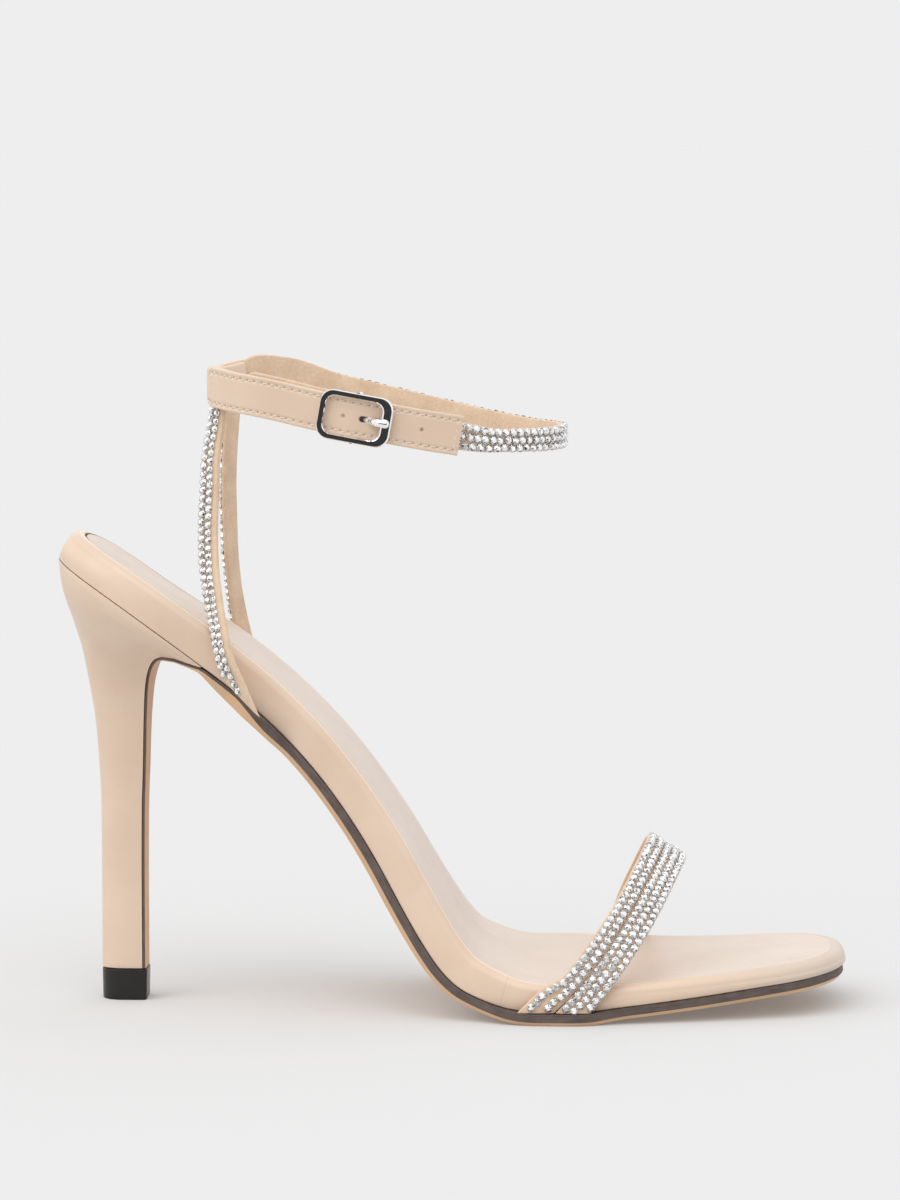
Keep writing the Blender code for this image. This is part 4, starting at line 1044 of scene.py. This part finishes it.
def ankleFrame(turn):
    # Place, forward, up and outward at each turn. Forward is the change over one degree
    wrapped = np.concatenate((ankleShape["turn"][-4:-1] - 360, ankleShape["turn"],
                              ankleShape["turn"][1:4] + 360))
    rises = np.concatenate((ankleShape["rise"][-4:-1], ankleShape["rise"], ankleShape["rise"][1:4]))

    def spot(turn):
        # x and y on the ellipse, z from the table
        radians = np.radians(turn)
        x = ankle["backX"] + ankle["length"] / 2 * (1 - np.cos(radians))
        y = -ankle["width"] / 2 * np.sin(radians)
        rise = smoothCurve(wrapped, rises, np.mod(turn, 360))
        return np.stack([x, y, ankle["frontHeight"] + ankle["drop"] * rise], axis=-1)

    turn = np.atleast_1d(np.asarray(turn, dtype=float))
    forward = unit(spot(turn + 0.5) - spot(turn - 0.5))
    up = np.array([0.0, 0.0, 1.0])
    up = unit(up - forward * forward[:, 2:])
    return spot(turn), forward, up, np.cross(forward, up)


def anklePath(fromTurn, toTurn, count, out=0.0):
    # The ankle's frame at even turns, moved outwards by out
    centre, _, up, outward = ankleFrame(np.linspace(fromTurn, toTurn, count))
    return makePath(centre + np.reshape(out, (-1, 1)) * outward, up, outward)


def bucklePlace(ahead, up, out):
    # The frame's origin at the centre bar, plus each distance along its own direction
    spot, forward, upward, outward = (part[0] for part in ankleFrame(ankle["buckleTurn"]))
    ahead, up, out = (np.asarray(part, dtype=float)[..., None] for part in (ahead, up, out))
    return spot + ahead * forward + up * upward + out * outward


def makeAnkleStrap():
    # Stone-set from behind the billet round to the sleeve, and plain from there to the buckle
    def since(key):
        # 0 up to a turn, then eased to 1 over some degrees
        start, degrees = ankle[key]
        return ease((turn - start) / degrees)

    def until(key):
        # 1 up to some degrees before a turn, then eased to 0
        end, degrees = ankle[key]
        return ease((end - turn) / degrees)

    turns = (ankle["endTurn"], 360 + ankle["buckleTurn"] - 1.4)
    count = 520
    path = anklePath(*turns, count)
    turn = np.linspace(*turns, count)
    plain = since("plainFrom")[:, None, None]
    profile = (strapProfile(ankle["strapWidth"], ankle["strapThick"], 0.0, 0.45 * mm) * (1 - plain)
               + strapProfile(ankle["plainWidth"], ankle["plainThick"], 0.0, 0.4 * mm) * plain)
    # It looks narrower round the front: width times 1 - frontNarrow, eased in and out by turn
    narrow = 1 - ankle["frontNarrow"] * since("narrowFrom") * until("narrowTo")
    profile[:, :, 0] *= narrow[:, None]
    # Its upper edge rises before the sleeve and again behind the billet, up to the buckle
    rise = (ankle["mouthRise"] * since("mouthFrom") * until("mouthTo")
            + ankle["foldRise"] * since("foldFrom") * until("foldTo"))
    profile[:, :, 0] += rise[:, None] * np.clip(profile[:, :, 0] / ankle["plainWidth"] + 0.5, 0, 1)
    piece = cappedTube("ankleStrap", carried(path, profile), [looks["suede"]])
    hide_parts("ankle_strap")
    stoneEnd = np.interp(ankle["stonesTo"], turn, path["length"])
    rows = ankle["rowSpacing"]
    spots = stoneRows(path, 0.0, stoneEnd, (-rows, 0.0, rows), ankle["strapThick"] / 2 + stones["rise"])
    inward = (spots["row"] - 1) * rows * (1 - np.interp(spots["length"], path["length"], narrow))
    spots["place"] -= inward[:, None] * spots["side"]
    makeStones("ankleStrapStones", spots)
    inner, outer = buckle["barRadius"] + gap, buckle["barRadius"] + gap + buckle["fold"]
    half, free = ankle["plainWidth"] / 2, buckle["prongRadius"] + gap
    makeEye("strapFold", inner, outer, -half, -free, "nude")
    makeEye("strapFoldTop", inner, outer, free, half, "nude")


def makeEye(name, inner, outer, low, high, look):
    # A short tube round the centre bar, its corners eased
    turn = np.linspace(0, 2 * math.pi, 32, endpoint=False)
    eased = 0.15 * mm
    rings = []
    for radius, up in ((outer - eased, low), (outer, low + eased), (outer, high - eased),
                       (outer - eased, high), (inner + eased, high), (inner, high - eased),
                       (inner, low + eased), (inner + eased, low)):
        rings.append(bucklePlace(radius * np.cos(turn), up + 0 * turn, radius * np.sin(turn)))
    faces = gridFaces(len(rings), len(turn), closeRows=True)
    return newPiece(name, np.array(rings), [faces], [looks[look]])


def makeSleeve():
    # A tube of two strap profiles. The outer one's upper edge sinks by the fall, eased in by turn
    low, high = ankle["sleeveTurns"]
    count = 90
    path = anklePath(low, high, count)
    wide, thick = ankle["plainWidth"] + 2 * gap, ankle["plainThick"] + 2 * gap
    inner = strapProfile(wide, thick, 0.0, 0.3 * mm)
    outer = strapProfile(ankle["sleeveHeight"], thick + 2 * ankle["sleeveWall"], 0.0, 0.9 * mm)
    outer[:, 0] -= ankle["sleeveDrop"]
    outer = np.repeat(outer[None], count, axis=0)
    fall = ankle["sleeveFall"] * ease((10 - np.linspace(low, high, count)) / 30)
    outer[:, :, 0] -= fall[:, None] * np.clip(outer[:, :, 0] / ankle["sleeveHeight"] + 0.5, 0, 1)
    rings = np.concatenate((carried(path, outer), carried(path, inner)[::-1]))
    faces = gridFaces(*rings.shape[:2], closeRows=True)
    piece = newPiece("ankleSleeve", rings, [faces], [looks["nude"]])
    return piece


# Quarter straps from the sleeve, 0, down to the sole, 1
quarterShape = table("down ahead medialAhead out medialOut turn medialTurn dip", (
    (0.000, 0.00, 0.00, 0.000, 0.000, 40, 32, 0), (0.073, -0.06, -0.07, 0.043, 0.043, 43, 32, 0),
    (0.170, -0.15, -0.14, 0.110, 0.110, 47, 33, 0), (0.286, -0.175, -0.19, 0.206, 0.210, 53, 33, 0),
    (0.400, -0.19, -0.19, 0.340, 0.350, 57, 33, 0), (0.516, -0.15, -0.18, 0.530, 0.560, 57, 33, 3),
    (0.618, -0.04, -0.14, 0.800, 0.860, 55, 34, 6), (0.700, 0.08, -0.08, 1.060, 1.130, 51, 36, 9),
    (0.766, 0.17, 0.00, 1.190, 1.260, 48, 39, 12), (0.836, 0.31, 0.13, 1.215, 1.290, 49, 44, 17),
    (0.900, 0.49, 0.34, 1.180, 1.250, 53, 52, 21), (0.954, 0.77, 0.64, 1.090, 1.120, 62, 62, 21),
    (1.000, 1.00, 1.00, 1.000, 1.000, 74, 74, 16)))


def quarterPath(side, count=240):
    # From the sleeve's lower edge to the foot: each coordinate goes its own share of the way. The
    # outer side faces by turn and dip, kept square to the path
    turn = quarter["lateralTurn"] if side < 0 else quarter["medialTurn"]
    end = quarter["lateralEnd"] if side < 0 else quarter["medialEnd"]
    top, _, up, _ = (part[0] for part in ankleFrame(turn))
    top = top - up * (ankle["sleeveHeight"] / 2 + ankle["sleeveDrop"] - 0.7 * mm)
    lateral, medial = halfWidths(np.array([end]))
    wide = (lateral if side < 0 else medial)[0] + quarter["standOff"]
    foot = last.place(end, side * wide, 0.0)
    ahead, out = ("ahead", "out") if side < 0 else ("medialAhead", "medialOut")
    share = np.stack([quarterShape[ahead], quarterShape[out], quarterShape["down"]], axis=1)
    points = top + (foot - top) * share
    points = np.concatenate((points, points[-1:] + unit(points[-1] - points[-2]) * 6 * mm))
    centre = throughPoints(points, count)
    knots = lengthsAlong(points)
    knots /= knots[-1]
    length = np.linspace(0, 1, count)
    turn = np.radians(np.interp(length, knots[:-1], quarterShape["turn" if side < 0 else "medialTurn"]))
    dip = np.radians(np.interp(length, knots[:-1], quarterShape["dip"]))
    facing = np.stack([-np.cos(turn) * np.cos(dip), side * np.sin(turn) * np.cos(dip), -np.sin(dip)],
                      axis=1)
    tangent = unit(np.gradient(centre, axis=0))
    outward = squareTo(facing, tangent)
    return makePath(centre, np.cross(outward, tangent), outward), end


def makeQuarter(name, side):
    # A strap from the sleeve to the sole, its rear edge flared at the foot
    path, end = quarterPath(side)
    profile = strapProfile(quarter["width"], quarter["thick"], 0.0, 0.5 * mm)
    profile = np.repeat(profile[None], len(path["length"]), axis=0)
    above = path["length"][-1] - path["length"]
    widen = quarter["footWiden"] * ease((26 * mm - above) / (14 * mm))[:, None]
    profile[:, :, 0] -= side * widen * np.clip(-side * profile[:, :, 0] / quarter["width"] + 0.5, 0, 1)
    rings = trimmed(carried(path, profile), path["tangent"], *solePlane(end), False)
    piece = cappedTube(name, rings, [looks["suede"]])
    first = side * (quarter["width"] / 2 - 1.0 * mm)
    spots = stoneRows(path, 1.5 * mm, path["length"][-1] - 3.5 * mm,
                      (first, first - side * stones["rowSpacing"]),
                      quarter["thick"] / 2 + stones["rise"], 0.0, (solePlane(end),))
    makeStones(name + "Stones", spots)


makeAnkleStrap()
sleeve = makeSleeve()
makeQuarter("quarterStrapLateral", -1)
makeQuarter("quarterStrapMedial", 1)
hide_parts("quarter_straps")
print("ankle and quarter straps ready")


# Billet with its stitches and holes, buckle and prong

# How far the billet's middle lies outside the ankle strap's, in millimetres
billetShape = table("turn out", (
    (16, 2.95), (32, 2.95), (46, 2.31), (62, 1.76), (70, 1.80), (80, 2.45), (90, 1.80),
    (97, 1.85), (104, 2.20), (120, 2.20)))

billet = {
    "width": 10.2 * mm, "thick": 1.5 * mm, "tipTurn": 19.0, "rootTurn": 115.0,
    "stitchInset": 1.3 * mm, "stitchPitch": 2.1 * mm, "holeRadius": 0.55 * mm,
    "holeSpacing": 10.1 * mm, "holePlace": 7.0 * mm, "slotPlace": 4.2 * mm, "slotHalf": 2.4 * mm,
    "groove": 0.16 * mm, "pit": 0.25 * mm, "holeDepth": 0.8 * mm, "stitchSize": 0.6 * mm,
    "stitchSink": 0.08 * mm,
}


def billetPath(count=460):
    # The ankle's path, moved outwards by billetShape
    turn = np.linspace(billet["tipTurn"], billet["rootTurn"], count)
    out = smoothCurve(billetShape["turn"], billetShape["out"], turn) * mm
    return anklePath(billet["tipTurn"], billet["rootTurn"], count, out)


def stitchPlan(path):
    # How far the two long rows lie from the middle, their first and last length, and how many
    # stitches a row has: its length divided by the pitch, rounded
    start = billet["stitchInset"]
    end = path["length"][-1] - start
    return billet["width"] / 2 - start, start, end, int(round((end - start) / billet["stitchPitch"]))


def makeBillet():
    # The outer side sinks along both stitch lines and at each hole, by bell curves of the distance
    path = billetPath()
    outerCount = 61
    profile = strapProfile(billet["width"], billet["thick"], 0.0, 0.35 * mm, outerCount)
    profile = np.repeat(profile[None], len(path["centre"]), axis=0)
    length, across = np.broadcast_arrays(path["length"][:, None], profile[:, :, 0])
    outer = np.arange(profile.shape[1]) < outerCount
    line, start, end, stitches = stitchPlan(path)
    groove = billet["groove"] * np.exp(-((np.abs(across) - line) / (0.45 * mm)) ** 2)
    turns = np.linspace(billet["tipTurn"], billet["rootTurn"], len(path["length"]))
    bar = np.interp(ankle["buckleTurn"], turns, path["length"])
    holes = np.zeros_like(length)
    for k in (-1, 1):
        place = bar + billet["holePlace"] + k * billet["holeSpacing"]
        distance = np.hypot(length - place, across)
        holes = np.maximum(holes, 0.55 * ease((billet["holeRadius"] + 0.1 * mm - distance) / (0.3 * mm)))
    beyond = np.abs(length - bar - billet["slotPlace"]) - billet["slotHalf"]
    slot = np.hypot(np.maximum(beyond, 0), across)
    holes = np.maximum(holes, ease((0.95 * mm - slot) / (0.35 * mm)))
    pitch = (end - start) / stitches
    off = (length - start + pitch / 2) % pitch - pitch / 2
    pits = np.exp(-(off / (0.3 * mm)) ** 2 - ((np.abs(across) - line) / (0.3 * mm)) ** 2)
    profile[:, :, 1] -= np.where(outer, groove + billet["pit"] * pits + billet["holeDepth"] * holes, 0)
    # Holes, slot and stitch pits all carry the mark "hole", which the billet's leather paints dark
    # brown: painted shade inside them
    holes = np.maximum(holes, 0.75 * pits)
    narrow = 1 - 0.16 * np.clip(1 - path["length"] / (1.2 * mm), 0, 1) ** 2
    profile[:, :, 0] *= narrow[:, None]
    piece = cappedTube("billet", carried(path, profile), [looks["holeShaded"]],
                       marks={"hole": np.where(outer, holes, 0)})
    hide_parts("ankle_billet")
    return path


def threadPattern():
    # A stitch: a short six-sided bar that dips at both ends
    turn = np.radians(np.arange(6) * 60.0)
    rings = []
    ends = ((1.0, 0.05, -0.25), (0.85, 0.2, -0.08), (0.4, 0.26, 0.1))
    for x, r, lift in [(-x, r, lift) for x, r, lift in ends] + list(ends[::-1]):
        rings.append(np.stack([np.full(6, x), r * np.cos(turn), r * np.sin(turn) + lift], axis=1))
    return np.array(rings)


def makeStitches(name, spot, size):
    # Every stitch's corner: its place plus the pattern along the strap, across it and outwards
    rings = threadPattern()
    local = rings.reshape(-1, 3)
    count = len(spot["centre"])
    parts = zip(local.T[:, None, :, None], (spot["tangent"], spot["across"], spot["outward"]))
    points = spot["centre"][:, None] + size * sum(part * way[:, None] for part, way in parts)
    shift = (np.arange(count) * len(local))[:, None, None]
    sides = (gridFaces(6, 6)[None] + shift).reshape(-1, 4)
    caps = (np.array([np.arange(6)[::-1], 30 + np.arange(6)])[None] + shift).reshape(-1, 6)
    piece = newPiece(name, points, [sides, caps], [looks["thread"]], sharp=None)


def billetStitches(path):
    # Slanted stitches in two long rows, and four straight ones across each end
    line, start, end, count = stitchPlan(path)
    out = billet["thick"] / 2 - billet["stitchSink"]
    lengths = start + (np.arange(count) + 0.5) * (end - start) / count
    spots = []
    for side in (-1, 1):
        spot = atLengths(path, lengths)
        spot["centre"] = spot["centre"] + side * line * spot["across"] + out * spot["outward"]
        slant = unit(spot["tangent"] + 0.16 * spot["across"])
        spot["across"] = squareTo(spot["across"], slant)
        spot["tangent"] = slant
        spots.append(spot)
    across = (np.arange(4) - 1.5) * 2 * line / 4
    for length in (start, end):
        spot = atLengths(path, np.full(4, length))
        spot["centre"] = spot["centre"] + across[:, None] * spot["across"] + out * spot["outward"]
        spot["tangent"], spot["across"] = spot["across"], -spot["tangent"]
        spots.append(spot)
    makeStitches("billetStitches", joined(spots), billet["stitchSize"])


def roundedLoop(back, front, halfUp, corner, count=10):
    # Corners as quarter circles, joined by straight sides
    turn = np.radians(np.linspace(0, 90, count))
    points = []
    for ahead, up, start in (
            (front - corner, halfUp - corner, 0), (back + corner, halfUp - corner, 90),
            (back + corner, corner - halfUp, 180), (front - corner, corner - halfUp, 270)):
        angle = turn + math.radians(start)
        points.append(np.stack([ahead + corner * np.cos(angle), up + corner * np.sin(angle)], axis=1))
        if start in (0, 180):
            end = back + corner if start == 0 else front - corner
            share = np.linspace(0, 1, 14)[1:-1, None]
            points.append(points[-1][-1] + share * (np.array([end, points[-1][-1][1]]) - points[-1][-1]))
    return np.concatenate(points)


def frameOut(ahead):
    # The frame bends with the ankle: its stand minus a parabola of the distance ahead
    return buckle["stand"] - ahead ** 2 * ankle["width"] / ankle["length"] ** 2


def makeBuckle():
    # A flat section with small bevels, carried round the frame between its outer and inner outlines
    halfLength = buckle["length"] / 2
    outer = roundedLoop(-halfLength, halfLength, buckle["height"] / 2, buckle["corner"])
    inner = roundedLoop(-halfLength + buckle["barLeft"], halfLength - buckle["barRight"],
                        buckle["height"] / 2 - buckle["barTop"], buckle["corner"] - 1.0 * mm)
    across = np.array([0.0, 0.0, 0.14, 0.86, 1.0, 1.0, 0.86, 0.14])
    rise = np.array([-0.28, 0.28, 0.5, 0.5, 0.28, -0.28, -0.5, -0.5])
    place = outer[None] + (inner - outer)[None] * across[:, None, None]
    out = frameOut(place[..., 0]) + rise[:, None] * buckle["thick"]
    rings = bucklePlace(place[..., 0], place[..., 1], out)
    frameFaces = gridFaces(*rings.shape[:2], closeRows=True)
    piece = newPiece("buckleFrame", rings, [frameFaces], [looks["chrome"]], sharp=20)
    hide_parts("buckle_frame")
    turn = np.linspace(0, 2 * math.pi, 16, endpoint=False)
    reach = (buckle["height"] / 2 + billet["width"] / 2 + gap) / 2 + 0.05 * mm
    radius = buckle["barRadius"]
    bar = []
    for up, out, leanUp, leanOut in ((-reach, buckle["stand"] - 0.2 * mm, -1, 0), (-reach, 0, -1, -1),
                                     (reach, 0, 1, -1), (reach, buckle["stand"] - 0.2 * mm, 1, 0)):
        bar.append(bucklePlace(radius * np.cos(turn), up + leanUp * radius * np.sin(turn),
                               out + leanOut * radius * np.sin(turn)))
    bar = cappedTube("buckleBar", np.array(bar), [looks["chrome"]])


def makeProng():
    # An eye on the centre bar, and a shank that eases out over the frame's front bar
    inner = buckle["barRadius"] + gap
    radius = buckle["prongRadius"]
    eye = makeEye("prongEye", inner, inner + 0.8 * mm, -radius, radius, "chrome")
    rest = buckle["length"] / 2 - buckle["barRight"] / 2
    over = frameOut(rest) + buckle["thick"] / 2 + gap * 0.3 + radius * 0.8
    start = inner + 0.1 * mm
    share = np.array([0.0, 0.2, 0.4, 0.6, 0.72, 0.8, 0.9, 1.0, 1.06, 1.1, 1.125])
    size = np.array([1.0, 1.0, 1.0, 1.0, 1.0, 1.0, 1.0, 0.98, 0.9, 0.6, 0.2])
    ahead = start + (rest - start) * share
    out = start + (over - start) * ease(np.minimum(share / 0.82, 1.0))
    turn = np.linspace(0, 2 * math.pi, 18, endpoint=False)
    thick = size[:, None] * radius
    rings = bucklePlace(np.repeat(ahead[:, None], 18, axis=1), thick * 1.15 * np.cos(turn),
                        out[:, None] + thick * 0.8 * np.sin(turn))
    shank = cappedTube("prongShank", rings, [looks["chrome"]])
    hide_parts("buckle_prong")


billetStitches(makeBillet())
makeBuckle()
makeProng()
print("billet and buckle ready")


# Floor, light and camera

studio = {
    "backdrop": 0.855, "around": 0.97, "floorAlbedo": 0.665, "floorGlow": 0.14, "patch": 0.04,
    "patchInner": 28.0, "patchOuter": 44.0, "sunStrength": 1.6, "sunAngle": 75.0,
}


def makeFloor():
    # The floor ends below the lens, so the buckle mirrors the dark patch there and not the paper
    size, front = 60.0, -1.0
    mesh = bpy.data.meshes.new("floor")
    corners = [(-size, front, 0), (size, front, 0), (size, size, 0), (-size, size, 0)]
    mesh.from_pydata(corners, [], [(0, 1, 2, 3)])
    floor = bpy.data.objects.new("floor", mesh)
    bpy.context.scene.collection.objects.link(floor)
    look, tree, shader = newLook("floorPaper")
    low, high = ((studio["floorAlbedo"] + change,) * 3 + (1.0,) for change in (-0.004, 0.004))
    setInputs(tree, shader, {"Base Color": mixedColour(tree, noiseOf(tree, 900.0), low, high),
                             "Roughness": 1.0, "Specular IOR Level": 0.0})
    # Like a light table, the paper gives part of its brightness itself, which keeps shadows short
    lit = addNode(tree, "Emission", {"Color": (1.0, 1.0, 1.0, 1.0), "Strength": studio["backdrop"]})
    blend = addNode(tree, "MixShader", {0: studio["floorGlow"], 1: shader.outputs[0], 2: lit.outputs[0]})
    setInputs(tree, tree.nodes["Material Output"], {"Surface": blend.outputs[0]})
    mesh.materials.append(look)


def makeWorld():
    # The camera sees one grey. The light comes evenly from all round, but for a soft dark patch
    # round the lens: share = dot of the direction with the patch's middle, eased between two cones
    world = bpy.data.worlds.new("studio")
    bpy.context.scene.world = world
    world.use_nodes = True
    tree = world.node_tree
    background = tree.nodes["Background"]
    direction = addNode(tree, "TexCoord").outputs["Object"]
    middle = addNode(tree, "VectorMath", {0: direction, 1: (-0.12, -0.992, 0.03)},
                     operation="DOT_PRODUCT")
    around = addNode(tree, "MapRange", {
        "Value": middle.outputs["Value"], "From Min": math.cos(math.radians(studio["patchOuter"])),
        "From Max": math.cos(math.radians(studio["patchInner"])), "To Min": studio["around"],
        "To Max": studio["patch"]}, interpolation_type="SMOOTHSTEP")
    seen = addNode(tree, "LightPath").outputs["Is Camera Ray"]
    mix = addNode(tree, "Mix", {0: seen, 2: around.outputs["Result"], 3: studio["backdrop"]})
    tree.links.new(mix.outputs[0], background.inputs["Color"])


def addSun(name, fromPlace, strength, angle):
    # A far, wide lamp: it shines from the place towards the middle of the shoe
    data = bpy.data.lights.new(name, "SUN")
    data.energy = strength
    data.angle = math.radians(angle)
    light = bpy.data.objects.new(name, data)
    bpy.context.scene.collection.objects.link(light)
    x, y, z = fromPlace
    light.location = fromPlace
    light.rotation_euler = (math.atan2(math.hypot(x, y), z), 0.0, math.atan2(x, -y))


view = {"yaw": 2.0, "pitch": 5.5, "distance": 1.3, "pixelSize": 0.2626 * mm,
        "imageWidth": 900, "imageHeight": 1200, "originX": 126.0, "originY": 996.5}


def makeCamera():
    # The camera looks along minus back; it is moved until the frame's origin has its place
    # in the image, which a few rounds settle
    yaw, pitch = math.radians(view["yaw"]), math.radians(view["pitch"])
    back = np.array([math.sin(yaw) * math.cos(pitch), -math.cos(yaw) * math.cos(pitch), math.sin(pitch)])
    right = np.array([math.cos(yaw), math.sin(yaw), 0.0])
    up = np.cross(back, right)
    focal = view["distance"] / view["pixelSize"]
    a = b = 0.0
    for _ in range(50):
        place = a * right + b * up + view["distance"] * back
        depth = place @ back
        u = view["imageWidth"] / 2 - focal * (place @ right) / depth
        v = view["imageHeight"] / 2 + focal * (place @ up) / depth
        a += (u - view["originX"]) * view["pixelSize"]
        b += (view["originY"] - v) * view["pixelSize"]
    data = bpy.data.cameras.new("camera")
    data.sensor_width = 36.0
    data.lens = focal / view["imageHeight"] * 36.0
    data.clip_start, data.clip_end = 0.05, 50.0
    camera = bpy.data.objects.new("camera", data)
    bpy.context.scene.collection.objects.link(camera)
    camera.location = place
    camera.rotation_euler = (math.pi / 2 - pitch, 0.0, yaw)
    bpy.context.scene.camera = camera


makeFloor()
makeWorld()
addSun("softSun", (-0.45, -0.95, 1.1), studio["sunStrength"], studio["sunAngle"])
makeCamera()
bpy.context.scene.view_settings.view_transform = "Standard"
print("studio ready")
